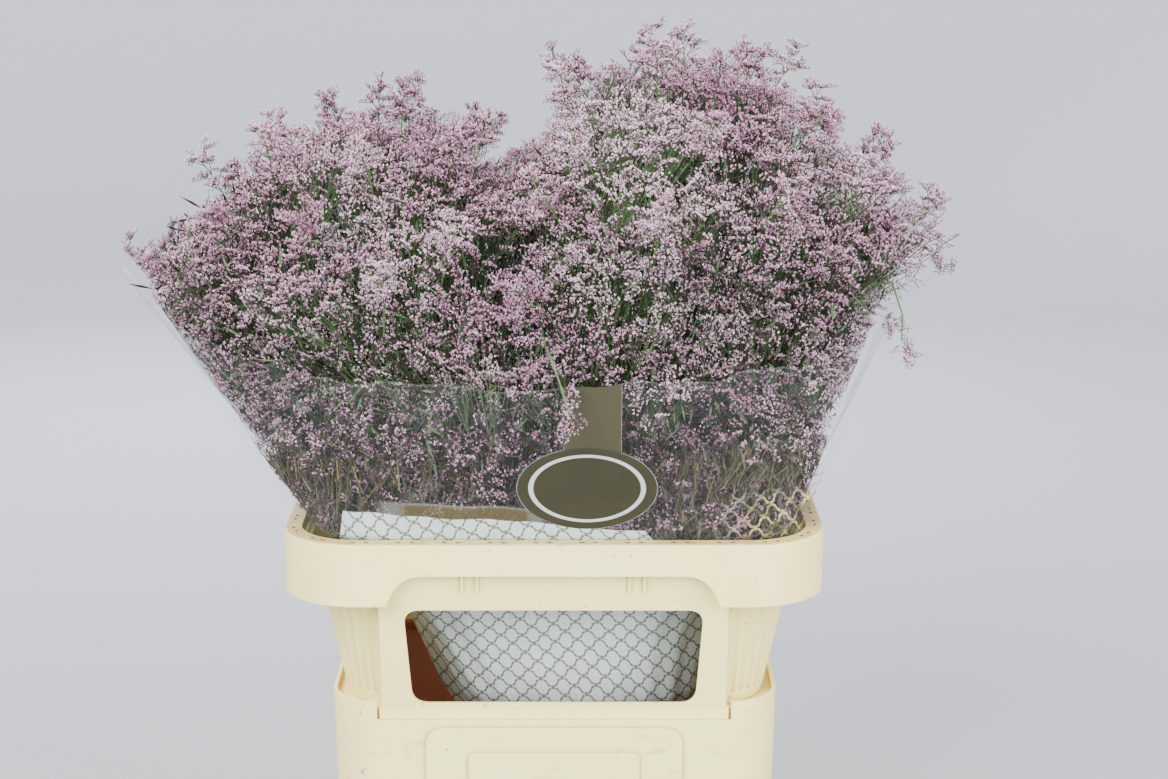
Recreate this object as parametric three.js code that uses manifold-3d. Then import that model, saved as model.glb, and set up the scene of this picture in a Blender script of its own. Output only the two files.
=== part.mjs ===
// A bunch of pink statice in a printed film sleeve, standing in a flower container.
// Millimetres, +Z up. The origin is the middle of the container's underside, -Y is its front.
// The container is a bucket with a collar standing on its inner ledge.
import * as THREE from "three";
import Module from "manifold-3d";

const wasm = await Module();
wasm.setup();

// Container: half sizes in X; the half size in Y is always less by DEPTH_LESS.
const DEPTH_LESS = 50;
const WALL = 3;
const SEAT_GAP = 0.3;
const BUCKET = { foot: 162, top: 168, corner: 40, height: 264, ledge: 258, ledgeHalf: 152, floor: 4 };
const COLLAR = {
  foot: 158, flare: 0.196, corner: 46, rim: 200, rimCorner: 58, rimWidth: 13,
  top: 395, flange: 389, skirt: 348, bevel: 1.5, flute: 1.1,
};
const PANEL = { half: 130, proud: 10, proudTop: 12, foot: 250.5 };
const ARCH = { top: 371, halfTop: 111, halfFoot: 131, corner: 16 };
const WINDOW = { low: 264, high: 341, halfLow: 105, halfHigh: 110, corner: 12 };
const CHANNEL = { x: 61, half: 5.5, rib: 2.4, proud: 1.6, low: 357, high: 371 };
const HAND_PANEL = { half: 96, high: 244, low: 60, corner: 14, proud: 1.6 };
const GRIP_PLATE = { half: 64, high: 225, low: 150, corner: 5, proud: 3.2 };

// Sleeve: its level, half width, half depth, shift in X and squareness, from the floor up.
const FILM = 0.7;
const SLEEVE_FOOT = 216;
const SLEEVE_LEVELS = [
  { z: 0, a: 60, b: 46, shift: 14, square: 2 },
  { z: 216, a: 96, b: 60, shift: 20, square: 2 },
  { z: 250, a: 112, b: 80, shift: 17, square: 2.3 },
  { z: 302, a: 124, b: 92, shift: 9, square: 2.8 },
  { z: 345, a: 140, b: 104, shift: 5, square: 4 },
  { z: 383, a: 174, b: 126, shift: 2, square: 6 },
  { z: 395, a: 186.5, b: 136.5, shift: 0, square: 8 },
  { z: 470, a: 238, b: 163, shift: -13, square: 3.2 },
  { z: 573, a: 300, b: 195, shift: -29, square: 2.2 },
  { z: 700, a: 312, b: 212, shift: -16, square: 2 },
  { z: 820, a: 320, b: 216, shift: -10, square: 2 },
];
const MOUTH = { front: 517, left: 573, right: 543, back: 700 };
const SLEEVE_SIDES = 28;

// Bunch: flowering stems, their canopy and the flower heads on it.
const STEM_COUNT = 12;
const STEM_RADIUS = 2.1;
const BRANCH_RADIUS = 1.25;
const HEAD_RADIUS = 32;
const HEAD_SIZES = [0.97, 0.78, 0.58];
const HEADS_APART = 0.68;
const SITES = 1600;
const SPRIG_RADIUS = 15;
const SPRIGS_EACH = 2;
const CORE_REACH = 0.76;
const CORE_DEPTH = 50;
const CORE_FOOT = 445;
const SHARE_GAP = 0.02;
const ACROSS = 1.5;
const SIDE_FOOT = 424;
const STEM_LEVELS = [216, 250, 345, 383, 412];
const CORE_LEVELS = [[404, 0.3], [432, 0.95], [500, 1]];
// Sprigs that hang over the sleeve's edge, each from inside a core to its small head outside.
const TRAILS = [
  { path: [[-8, -135, 552], [-4, -186, 548], [6, -192, 522]], head: [12, -191, 494], facing: [0.1, -0.5, -0.85] },
  { path: [[170, -44, 562], [250, -64, 572], [258, -66, 548]], head: [258, -67, 522], facing: [0.4, -0.3, -0.85] },
  { path: [[190, 14, 575], [262, 2, 596], [280, 0, 592]], head: [294, -2, 572], facing: [0.75, 0, -0.66] },
];
const CLEAR = 1.2;
const FILM_ROOM = 5;
const SEED = 20;

const MATERIALS = {
  plastic: new THREE.MeshStandardMaterial({ color: 0xe9e0c0, roughness: 0.5 }),
  film: new THREE.MeshStandardMaterial({ color: 0xdfe6e4, roughness: 0.15, transparent: true, opacity: 0.4 }),
  statice: new THREE.MeshStandardMaterial({ color: 0xc9a3bb, roughness: 0.85 }),
};

// Repeatable random numbers from 0 to 1.
function randomFrom(seed) {
  let state = seed;
  return () => {
    state = (state + 0x6d2b79f5) | 0;
    let t = Math.imul(state ^ (state >>> 15), 1 | state);
    t = (t + Math.imul(t ^ (t >>> 7), 61 | t)) ^ t;
    return ((t ^ (t >>> 14)) >>> 0) / 4294967296;
  };
}

// A solid from a list of points and of corner numbers, three to a face.
function solid(points, faces) {
  const vertProperties = new Float32Array(points.flatMap((p) => [p.x, p.y, p.z]));
  return new wasm.Manifold(new wasm.Mesh({ numProp: 3, vertProperties, triVerts: new Uint32Array(faces.flat()) }));
}

// A solid through rings of equal length. It has flat ends, or with closed it returns to its first ring.
// Past the ring numbered fold the faces are split the other way, so that a thin wall's two sides are split alike.
function loft(rings, closed = false, fold = rings.length) {
  const n = rings[0].length;
  const faces = [];
  const spans = closed ? rings.length : rings.length - 1;
  for (let r = 0; r < spans; r++) {
    const low = r * n;
    const high = ((r + 1) % rings.length) * n;
    for (let i = 0; i < n; i++) {
      const j = (i + 1) % n;
      if (r < fold) faces.push([low + i, low + j, high + j], [low + i, high + j, high + i]);
      else faces.push([low + i, low + j, high + i], [low + j, high + j, high + i]);
    }
  }
  if (!closed) {
    const last = (rings.length - 1) * n;
    const cap = THREE.ShapeUtils.triangulateShape(rings[0].map((p) => new THREE.Vector2(p.x, p.y)), []);
    for (const [a, b, c] of cap) faces.push([c, b, a], [last + a, last + b, last + c]);
  }
  return solid(rings.flat(), faces);
}

// A straight or bent rod of few sides through a list of points, thinner towards its end.
function rod(path, startRadius, endRadius, sides) {
  const points = [];
  const faces = [];
  path.forEach((centre, k) => {
    const along = path[Math.min(k + 1, path.length - 1)].clone().sub(path[Math.max(k - 1, 0)]).normalize();
    const across = new THREE.Vector3(0.31, 0.95, 0.02).cross(along).normalize();
    const up = along.clone().cross(across);
    const radius = THREE.MathUtils.lerp(startRadius, endRadius, k / (path.length - 1));
    for (let i = 0; i < sides; i++) {
      const turn = (2 * Math.PI * i) / sides;
      points.push(centre.clone()
        .addScaledVector(across, radius * Math.cos(turn)).addScaledVector(up, radius * Math.sin(turn)));
      const j = (i + 1) % sides;
      const low = k * sides;
      if (k) faces.push([low - sides + i, low - sides + j, low + j], [low - sides + i, low + j, low + i]);
    }
  });
  const last = (path.length - 1) * sides;
  for (let i = 1; i < sides - 1; i++) faces.push([0, i + 1, i], [last, last + i, last + i + 1]);
  return solid(points, faces);
}

// An upright plate with rounded corners, wider or narrower at the top, extruded along -Y from the plane y = 0.
function plate(halfLow, halfHigh, low, high, corner, depth) {
  const outline = [[-halfLow, low], [halfLow, low], [halfHigh, high], [-halfHigh, high]];
  const shape = new THREE.Shape();
  outline.forEach(([x, z], i) => {
    const here = new THREE.Vector2(x, z);
    const before = new THREE.Vector2(...outline[(i + 3) % 4]).sub(here).setLength(corner).add(here);
    const after = new THREE.Vector2(...outline[(i + 1) % 4]).sub(here).setLength(corner).add(here);
    if (i) shape.lineTo(before.x, before.y);
    else shape.moveTo(before.x, before.y);
    shape.quadraticCurveTo(x, z, after.x, after.y);
  });
  const geometry = new THREE.ExtrudeGeometry(shape, { depth, bevelEnabled: false, curveSegments: 4 });
  geometry.rotateX(Math.PI / 2);
  return fromGeometry(geometry);
}

// A three.js geometry as a solid, with its doubled corners joined.
function fromGeometry(geometry) {
  const flat = geometry.index ? geometry.toNonIndexed() : geometry;
  const position = flat.getAttribute("position");
  const found = new Map();
  const points = [];
  const faces = [];
  for (let i = 0; i < position.count; i++) {
    const p = new THREE.Vector3().fromBufferAttribute(position, i);
    const key = [p.x, p.y, p.z].map((v) => Math.round(v * 1e4)).join();
    if (!found.has(key)) found.set(key, points.push(p) - 1);
    if (i % 3 === 0) faces.push([]);
    faces[faces.length - 1].push(found.get(key));
  }
  return solid(points, faces.filter(([a, b, c]) => a !== b && b !== c && a !== c));
}

// A finished solid as a named mesh of the part.
function meshOf(name, manifold, material) {
  const made = manifold.getMesh();
  const geometry = new THREE.BufferGeometry();
  const positions = new Float32Array(made.numVert * 3);
  for (let i = 0; i < made.numVert; i++) {
    positions.set(made.vertProperties.subarray(i * made.numProp, i * made.numProp + 3), i * 3);
  }
  geometry.setAttribute("position", new THREE.BufferAttribute(positions, 3));
  geometry.setIndex(new THREE.BufferAttribute(made.triVerts, 1));
  geometry.computeVertexNormals();
  const mesh = new THREE.Mesh(geometry, material);
  mesh.name = name;
  return mesh;
}

// Joins solids and keeps the largest body, so that no loose scrap is left.
function joined(solids) {
  const bodies = wasm.Manifold.union(solids).decompose();
  return bodies.reduce((best, body) => (body.volume() > best.volume() ? body : best));
}

// A rounded rectangle at one level: its four corners are arcs of equal steps.
function roundRing(half, corner, z, steps = 5) {
  const ring = [];
  for (let quarter = 0; quarter < 4; quarter++) {
    const sx = quarter === 0 || quarter === 3 ? 1 : -1;
    const sy = quarter < 2 ? 1 : -1;
    for (let i = 0; i <= steps; i++) {
      const turn = (Math.PI / 2) * (quarter + i / steps);
      ring.push(new THREE.Vector3(
        sx * (half - corner) + corner * Math.cos(turn),
        sy * (half - DEPTH_LESS - corner) + corner * Math.sin(turn),
        z,
      ));
    }
  }
  return ring;
}

// One level of the collar. With proud set, a flat panel stands out at front and back, and the corners are fluted.
const CORNER_STEPS = 8;
function collarRing(half, corner, z, proud, flute = 0) {
  const cx = half - corner;
  const cy = half - DEPTH_LESS - corner;
  const most = proud ? Math.acos(Math.min(1, (PANEL.half - cx) / corner)) : Math.PI / 2;
  const side = [];
  for (let i = 0; i <= CORNER_STEPS; i++) {
    const turn = (most * i) / CORNER_STEPS;
    const radius = corner - (i % 2 && i > 1 && i < CORNER_STEPS - 1 ? flute : 0);
    side.push([cx + radius * Math.cos(turn), cy + radius * Math.sin(turn)]);
  }
  side.push([proud ? PANEL.half - 2 : cx - 6, half - DEPTH_LESS + (proud || 0)]);
  const mirrored = [...side].reverse();
  return [
    ...side.map(([x, y]) => new THREE.Vector3(x, y, z)),
    ...mirrored.map(([x, y]) => new THREE.Vector3(-x, y, z)),
    ...side.map(([x, y]) => new THREE.Vector3(-x, -y, z)),
    ...mirrored.map(([x, y]) => new THREE.Vector3(x, -y, z)),
  ];
}

function makeBucket() {
  const { foot, top, corner, height, ledge, ledgeHalf, floor } = BUCKET;
  const shell = loft([
    roundRing(foot - 3, corner - 3, 0),
    roundRing(foot, corner, 4),
    roundRing(top, corner, height),
    roundRing(top - WALL, corner - WALL, height),
    roundRing(top - WALL, corner - WALL, ledge),
    roundRing(ledgeHalf, corner - 14, ledge),
    roundRing(ledgeHalf, corner - 14, ledge - WALL),
    roundRing(top - WALL - 0.5, corner - WALL, ledge - 14),
    roundRing(foot - WALL, corner - WALL, floor),
  ]);
  const lean = Math.atan((top - foot) / height);
  const face = foot - DEPTH_LESS;
  const relief = ({ half, low, high, corner: round, proud }) =>
    plate(half, half, low, high, round, WALL - 1 + proud).translate([0, WALL - 1 - face, 0]);
  const front = relief(HAND_PANEL).add(relief(GRIP_PLATE))
    .translate([0, face, 0]).rotate([(lean * 180) / Math.PI, 0, 0]).translate([0, -face, 0]);
  // The lip is lowered where the collar's front and back panels stand flush with the bucket's face.
  const notch = plate(PANEL.half + 2, PANEL.half + 2, PANEL.foot - SEAT_GAP, height + 5, 1, WALL + 6)
    .translate([0, WALL + 1 + DEPTH_LESS - top, 0]);
  return joined([shell, front, front.rotate([0, 0, 180])]).subtract(notch).subtract(notch.rotate([0, 0, 180]));
}

function makeCollar() {
  const { foot, flare, corner, rim, rimCorner, rimWidth, top, flange, skirt, bevel, flute } = COLLAR;
  const low = BUCKET.ledge + SEAT_GAP;
  const high = foot + flare * (flange - low);
  const { proud, proudTop } = PANEL;
  const shell = loft([
    collarRing(foot, corner, low, proud, flute),
    collarRing(high, corner, flange, proudTop, flute),
    collarRing(rim - WALL, rimCorner - WALL, flange),
    collarRing(rim - WALL, rimCorner - WALL, skirt),
    collarRing(rim, rimCorner, skirt),
    collarRing(rim, rimCorner, top - bevel),
    collarRing(rim - bevel, rimCorner - bevel, top),
    collarRing(rim - rimWidth, rimCorner - rimWidth, top),
    collarRing(rim - rimWidth, rimCorner - rimWidth, flange + 1),
    collarRing(high - WALL, corner - WALL, flange - 4, proudTop),
    collarRing(foot - WALL, corner - WALL, low, proud),
  ], true, 8);
  const face = foot - DEPTH_LESS + proud;
  const arch = plate(ARCH.halfFoot, ARCH.halfTop, skirt - 20, ARCH.top, ARCH.corner, 10)
    .translate([0, -(rim - DEPTH_LESS - WALL) + 0.5, 0]);
  const pane = plate(WINDOW.halfLow, WINDOW.halfHigh, WINDOW.low, WINDOW.high, WINDOW.corner, 60)
    .translate([0, -(face - 20), 0]);
  const lean = Math.atan((high - foot + proudTop - proud) / (flange - low));
  const channels = [-1, 1].flatMap((place) => [-1, 1].map((edge) => {
    const x = place * CHANNEL.x + edge * CHANNEL.half;
    const geometry = new THREE.BoxGeometry(CHANNEL.rib, CHANNEL.proud + 1, CHANNEL.high - CHANNEL.low);
    geometry.rotateX(lean);
    const z = (CHANNEL.low + CHANNEL.high) / 2;
    return fromGeometry(geometry).translate([x, -(face + (z - low) * Math.tan(lean)) - CHANNEL.proud / 2 + 0.6, z]);
  }));
  const cuts = [arch, pane];
  const body = cuts.reduce((rest, cut) => rest.subtract(cut).subtract(cut.rotate([0, 0, 180])), shell);
  const apron = plate(PANEL.half, PANEL.half, PANEL.foot, low + 3, 1, WALL - SEAT_GAP)
    .translate([0, WALL - SEAT_GAP - face, 0]);
  const front = [...channels, apron];
  return joined([body, ...front, ...front.map((piece) => piece.rotate([0, 0, 180]))]);
}

// The sleeve's measures at any level, straight between the levels listed.
function sleeveAt(z) {
  const k = Math.max(1, SLEEVE_LEVELS.findIndex((level) => level.z >= z));
  const [low, high] = [SLEEVE_LEVELS[k - 1], SLEEVE_LEVELS[k]];
  const t = (z - low.z) / (high.z - low.z);
  const mix = (key) => THREE.MathUtils.lerp(low[key], high[key], t);
  return { a: mix("a"), b: mix("b"), shift: mix("shift"), square: mix("square") };
}

// A point of the sleeve: turn 0 is its right seam and half a turn its left seam; inset moves it inwards.
function sleevePoint(turn, z, inset = 0) {
  const { a, b, shift, square } = sleeveAt(z);
  const c = Math.cos(turn);
  const s = Math.sin(turn);
  const x = Math.sign(c) * Math.abs(c) ** (2 / square) * (a - inset);
  const y = Math.sign(s) * Math.abs(s) ** (2 / square) * (b - inset);
  return new THREE.Vector3(shift + x, y, z);
}

// The sleeve is cut lowest at the front, higher at the side seams and highest at the back.
function mouthHeight(turn) {
  const s = Math.sin(turn);
  const seam = THREE.MathUtils.lerp(MOUTH.left, MOUTH.right, (1 + Math.cos(turn)) / 2);
  return s < 0
    ? THREE.MathUtils.lerp(seam, MOUTH.front, Math.abs(s) ** 1.3)
    : THREE.MathUtils.lerp(seam, MOUTH.back, THREE.MathUtils.smoothstep(s, 0, 0.85));
}

function makeSleeve() {
  const inner = SLEEVE_LEVELS.filter(({ z }) => z > SLEEVE_FOOT && z <= 395).map(({ z }) => z);
  const levels = [
    () => SLEEVE_FOOT,
    ...inner.map((z) => () => z),
    (turn) => Math.min(470, THREE.MathUtils.lerp(395, mouthHeight(turn), 0.45)),
    (turn) => Math.min(573, THREE.MathUtils.lerp(395, mouthHeight(turn), 0.8)),
    mouthHeight,
  ];
  const ring = (level, inset) => Array.from({ length: SLEEVE_SIDES }, (_, i) => {
    const turn = (2 * Math.PI * i) / SLEEVE_SIDES;
    return sleevePoint(turn, level(turn), inset);
  });
  return loft([
    ...levels.map((level) => ring(level, 0)),
    ...levels.map((level) => ring(level, FILM)).reverse(),
  ], true, levels.length);
}

// The bunch's own space: p and q lie in a unit circle at each level, so a stem is upright there.
function bunchPoint(p, q, z) {
  const { a, b, shift, square } = sleeveAt(z);
  const reach = Math.hypot(p, q) || 1;
  const squarer = (Math.abs(p / reach) ** square + Math.abs(q / reach) ** square) ** (-1 / square);
  return new THREE.Vector3(shift + p * squarer * a, q * squarer * b, z);
}

// Where a point lies in the bunch's own space.
function bunchPlace(point) {
  const { a, b, shift, square } = sleeveAt(Math.min(point.z, 819));
  const [u, v] = [(point.x - shift) / a, point.y / b];
  const reach = Math.hypot(u, v) || 1;
  const squarer = (Math.abs(u / reach) ** square + Math.abs(v / reach) ** square) ** (-1 / square);
  return { p: u / squarer, q: v / squarer };
}

// Height of the canopy's outside over a point: two soft lobes, the right one higher, lower at front and back.
function canopy(x, y) {
  const dome = 566 + 134 * (1 - ((x + 6) / 322) ** 6);
  const right = 56 * Math.exp(-(((x - 112) / 72) ** 2));
  const left = 12 * Math.exp(-(((x + 120) / 60) ** 2));
  const dip = 20 * Math.exp(-(((x + 30) / 35) ** 2));
  const fall = y < 0 ? 125 * (-y / 200) ** 2.2 : 60 * (y / 210) ** 2.2;
  return dome + right + left - dip - fall;
}

// One place for each stem, spread evenly over the bunch by moving each to the middle of what lies nearest it.
function stemPlaces(random) {
  const disc = [];
  for (let p = -1; p <= 1; p += 0.05) {
    for (let q = -1; q <= 1; q += 0.05) if (p * p + q * q < 0.92) disc.push(new THREE.Vector2(p * ACROSS, q));
  }
  let places = Array.from({ length: STEM_COUNT }, () => disc[Math.floor(random() * disc.length)].clone());
  for (let round = 0; round < 30; round++) {
    const sums = places.map(() => ({ middle: new THREE.Vector2(), count: 0 }));
    for (const spot of disc) {
      const near = sums[nearest(places, spot)];
      near.middle.add(spot);
      near.count++;
    }
    places = places.map((place, i) => (sums[i].count ? sums[i].middle.divideScalar(sums[i].count) : place));
  }
  return places.sort((one, other) => one.y - other.y || one.x - other.x);
}

// The number of the stem whose place lies nearest to a spot.
function nearest(places, spot) {
  let best = 0;
  places.forEach((place, i) => {
    if (place.distanceToSquared(spot) < places[best].distanceToSquared(spot)) best = i;
  });
  return best;
}

// Corner numbers of a branch and its head: the branch's three rings of three, the rim's twelve points,
// the inner ring's six and the middle.
const HEAD_FACES = [[0, 2, 1]];
for (let i = 0; i < 6; i++) {
  const [low, next] = [i, i % 3 === 2 ? i - 2 : i + 1];
  HEAD_FACES.push([low, next, next + 3], [low, next + 3, low + 3]);
}
for (let i = 0; i < 12; i++) {
  const [neck, rim, next] = [6 + (Math.floor((i + 2) / 4) % 3), 9 + i, 9 + ((i + 1) % 12)];
  HEAD_FACES.push([neck, next, rim]);
  if (i % 4 === 2) HEAD_FACES.push([6 + ((neck - 4) % 3), neck, rim]);
}
for (let i = 0; i < 6; i++) {
  const [a, b, o, m, e] = [21 + i, 21 + ((i + 1) % 6), 9 + 2 * i, 10 + 2 * i, 9 + ((2 * i + 2) % 12)];
  HEAD_FACES.push([27, a, b], [a, o, m], [a, m, b], [b, m, e]);
}

// A branch that widens into a flower head: florets as points on a shallow star-shaped dish.
function flowerBranch(fork, half, { centre, outward, radius }, random) {
  const across = new THREE.Vector3(0.2, 0.9, 0.4).cross(outward).normalize();
  const neck = centre.clone().addScaledVector(outward, -0.5 * radius);
  const ring = (middle, axis, reach, rise, count, spin) => Array.from({ length: count }, (_, i) => {
    const side = across.clone().addScaledVector(axis, -across.dot(axis)).normalize();
    const up = axis.clone().cross(side);
    const turn = (2 * Math.PI * i) / count + spin;
    return middle.clone().addScaledVector(side, reach(i) * Math.cos(turn))
      .addScaledVector(up, reach(i) * Math.sin(turn)).addScaledVector(axis, rise(i));
  });
  const vary = () => 0.86 + 0.14 * random();
  const flat = () => 0;
  const thick = () => BRANCH_RADIUS;
  const spin = random() * Math.PI;
  const points = [
    ...ring(fork, half.clone().sub(fork).normalize(), thick, flat, 3, spin),
    ...ring(half, neck.clone().sub(fork).normalize(), thick, flat, 3, spin),
    ...ring(neck, outward, thick, flat, 3, spin),
    ...ring(centre, outward, (i) => radius * (i % 2 ? 0.72 : vary()), (i) => radius * (i % 2 ? -0.06 : 0.15), 12, spin),
    ...ring(centre, outward, () => radius * 0.46, (i) => radius * (i % 2 ? 0.1 : 0.42 * vary()), 6, spin),
    centre.clone().addScaledVector(outward, 0.36 * radius),
  ];
  return solid(points, HEAD_FACES);
}

// Whether a head's widest outline stays inside the film, wherever it is lower than the film's edge.
function clearOfFilm({ centre, outward, radius }) {
  const across = new THREE.Vector3(0.2, 0.9, 0.4).cross(outward).normalize();
  const along = outward.clone().cross(across);
  for (let i = 0; i <= 12; i++) {
    const reach = i ? radius + CLEAR : 0;
    const spot = centre.clone().addScaledVector(outward, (i ? 0.16 : 0.46) * radius)
      .addScaledVector(across, reach * Math.cos((Math.PI * i) / 6))
      .addScaledVector(along, reach * Math.sin((Math.PI * i) / 6));
    const { a, b, shift, square } = sleeveAt(Math.min(spot.z, 819));
    const [u, v] = [(spot.x - shift) / (a - FILM_ROOM), spot.y / (b - FILM_ROOM)];
    const turn = Math.atan2(Math.sign(v) * Math.abs(v) ** (square / 2), Math.sign(u) * Math.abs(u) ** (square / 2));
    if (spot.z < mouthHeight(turn) + 25 && Math.abs(u) ** square + Math.abs(v) ** square > 1) return false;
  }
  return true;
}

// Places where a head may sit: on the canopy, or on the bunch's flank just inside the film.
function headSites(random) {
  const sites = [];
  for (let i = 0; i < SITES; i++) {
    const [p, q] = [2 * random() - 1, 2 * random() - 1];
    if (Math.hypot(p, q) > 0.95) continue;
    const { x, y } = bunchPoint(p, q, 640);
    const outward = new THREE.Vector3(canopy(x - 5, y) - canopy(x + 5, y), canopy(x, y - 5) - canopy(x, y + 5), 13);
    sites.push({ centre: new THREE.Vector3(x, y, canopy(x, y) - HEAD_RADIUS * 0.45), outward: outward.normalize() });
  }
  const inset = HEAD_RADIUS * 0.62;
  for (let i = 0; i < SITES; i++) {
    const turn = 2 * Math.PI * random();
    const z = SIDE_FOOT + 200 * random();
    const centre = sleevePoint(turn, z, inset);
    if (z > canopy(centre.x, centre.y) - HEAD_RADIUS * 0.8) continue;
    const along = sleevePoint(turn + 0.05, z, inset).sub(sleevePoint(turn - 0.05, z, inset));
    const up = sleevePoint(turn, z + 20, inset).sub(centre);
    sites.push({ centre, outward: along.cross(up).normalize() });
  }
  return sites;
}

// A place in the bunch's own space, drawn in to no more than a reach from the middle.
function inward({ p, q }, reach) {
  const shrink = Math.min(1, reach / Math.hypot(p, q));
  return { p: p * shrink, q: q * shrink };
}

// A stem's own place, the middle of its share.
function homeOf(outline) {
  const sum = outline.reduce((total, spot) => total.add(spot), new THREE.Vector2());
  return { p: sum.x / outline.length / ACROSS, q: sum.y / outline.length };
}

// The outline of a stem's own share of the bunch: a wide oval, cut halfway to every other stem.
function shareOutline(places, own) {
  let outline = Array.from({ length: 20 }, (_, i) => {
    const turn = (2 * Math.PI * i) / 20;
    return new THREE.Vector2(CORE_REACH * ACROSS * Math.cos(turn), CORE_REACH * Math.sin(turn));
  });
  places.forEach((place, i) => {
    if (i === own) return;
    const away = place.clone().sub(places[own]).normalize();
    const limit = away.dot(place.clone().add(places[own]).multiplyScalar(0.5)) - SHARE_GAP;
    const kept = [];
    outline.forEach((here, k) => {
      const next = outline[(k + 1) % outline.length];
      const [before, after] = [away.dot(here) - limit, away.dot(next) - limit];
      if (before <= 0) kept.push(here);
      if (before * after < 0) kept.push(here.clone().lerp(next, before / (before - after)));
    });
    outline = kept;
  });
  return outline.filter((here, k) => here.distanceTo(outline[(k + 1) % outline.length]) > 0.02);
}

// Height of the core's top under the canopy, over a place in the bunch.
function coreTop(p, q) {
  const above = bunchPoint(p, q, 640);
  return canopy(above.x, above.y) - CORE_DEPTH;
}

// The core of a stem's share, well below the canopy: the heads stand out of it.
function coreOf(outline, home) {
  const ring = (reach, level) => outline.map(({ x, y }) => {
    const p = THREE.MathUtils.lerp(home.p, x / ACROSS, reach);
    const q = THREE.MathUtils.lerp(home.q, y, reach);
    return bunchPoint(p, q, level ?? coreTop(p, q));
  });
  return loft([...CORE_LEVELS.map(([z, reach]) => ring(reach, z)), ring(1)]);
}

// How far a point is from the border of a stem's own share of the bunch, in millimetres at that level.
function roomAround(places, own, p, q, z) {
  const spot = new THREE.Vector2(p * ACROSS, q);
  const room = places.map((place, i) => (i === own ? Infinity
    : (spot.distanceToSquared(place) - spot.distanceToSquared(places[own])) / (2 * place.distanceTo(places[own]))));
  return Math.min(...room) * sleeveAt(z).b;
}

// Small heads that stand above the canopy on thin branches, in the middle of the stem's share.
function sprigsOf(places, own, home, random) {
  const sprigs = [];
  for (let trial = 0; trial < 40 && sprigs.length < SPRIGS_EACH; trial++) {
    const p = home.p + 0.5 * (random() - 0.5);
    const q = home.q + 0.5 * (random() - 0.5);
    const spot = bunchPoint(p, q, 690);
    const rise = SPRIG_RADIUS * (0.9 + random());
    const centre = bunchPoint(p, q, canopy(spot.x, spot.y) + rise);
    const outward = new THREE.Vector3(0.6 * p, 0.5 * q, 1).normalize();
    const sprig = { centre, outward, radius: SPRIG_RADIUS, p, q };
    const roomy = Math.hypot(p, q) < 0.9 && roomAround(places, own, p, q, centre.z) > 1.3 * SPRIG_RADIUS;
    const apart = sprigs.every((other) => other.centre.distanceTo(centre) > 3.2 * SPRIG_RADIUS);
    if (roomy && apart) sprigs.push(sprig);
  }
  return sprigs;
}

// Every head goes to the stem whose share it lies in, large heads first, and each stem is then joined.
function makeStems() {
  const random = randomFrom(SEED);
  const places = stemPlaces(random);
  const stems = places.map(() => []);
  const sites = headSites(random);
  for (const least of HEAD_SIZES) {
    for (const site of sites) {
      const { p, q } = bunchPlace(site.centre);
      const own = nearest(places, new THREE.Vector2(p * ACROSS, q));
      const room = (roomAround(places, own, p, q, site.centre.z) - CLEAR) / 1.04;
      const head = { ...site, p, q, radius: Math.min(HEAD_RADIUS, room) };
      const apart = (other) => other.centre.distanceTo(head.centre) > (other.radius + head.radius) * HEADS_APART;
      if (head.radius > least * HEAD_RADIUS && stems[own].every(apart) && clearOfFilm(head)) stems[own].push(head);
    }
  }
  const base = BUCKET.floor + SEAT_GAP;
  return places.map((_, i) => {
    const outline = shareOutline(places, i);
    const home = homeOf(outline);
    const path = [base, ...STEM_LEVELS].map((z) => bunchPoint(home.p, home.q, z));
    const parts = [rod(path, STEM_RADIUS, STEM_RADIUS, 5), coreOf(outline, home)];
    for (const head of [...stems[i], ...sprigsOf(places, i, home, random)]) {
      const start = inward({ p: (home.p + head.p) / 2, q: (home.q + head.q) / 2 }, CORE_REACH - 0.08);
      const low = Math.min(coreTop(start.p, start.q) - 28, head.centre.z - 1.6 * head.radius - 12);
      const fork = Math.max(CORE_FOOT, low);
      const half = THREE.MathUtils.lerp(fork, head.centre.z, 0.3);
      const bend = bunchPoint((start.p + head.p) / 2, (start.q + head.q) / 2, half);
      parts.push(flowerBranch(bunchPoint(start.p, start.q, fork), bend, head, random));
    }
    for (const { path: trail, head, facing } of TRAILS) {
      const points = trail.map((point) => new THREE.Vector3(...point));
      const start = bunchPlace(points[0]);
      if (nearest(places, new THREE.Vector2(start.p * ACROSS, start.q)) !== i) continue;
      const end = { centre: new THREE.Vector3(...head), outward: new THREE.Vector3(...facing).normalize() };
      parts.push(rod(points, BRANCH_RADIUS, BRANCH_RADIUS, 3));
      parts.push(flowerBranch(points[1], points[2], { ...end, radius: SPRIG_RADIUS }, random));
    }
    return meshOf(`statice_stem_${String(i + 1).padStart(2, "0")}`, joined(parts), MATERIALS.statice);
  });
}

const bunch = new THREE.Group();
bunch.add(
  meshOf("bucket", makeBucket(), MATERIALS.plastic),
  meshOf("collar", makeCollar(), MATERIALS.plastic),
  meshOf("sleeve", makeSleeve(), MATERIALS.film),
  ...makeStems(),
);

export default bunch;
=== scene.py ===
"""A bunch of pink statice in a printed film sleeve, standing in a bucket with a raised collar.

Every length is in metres. The bucket stands on z = 0, and its front looks along -Y.
"""
import math

import bmesh
import bpy
import numpy as np
from bpy.props import FloatProperty, IntProperty, StringProperty
from mathutils import Matrix, Vector


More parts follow.
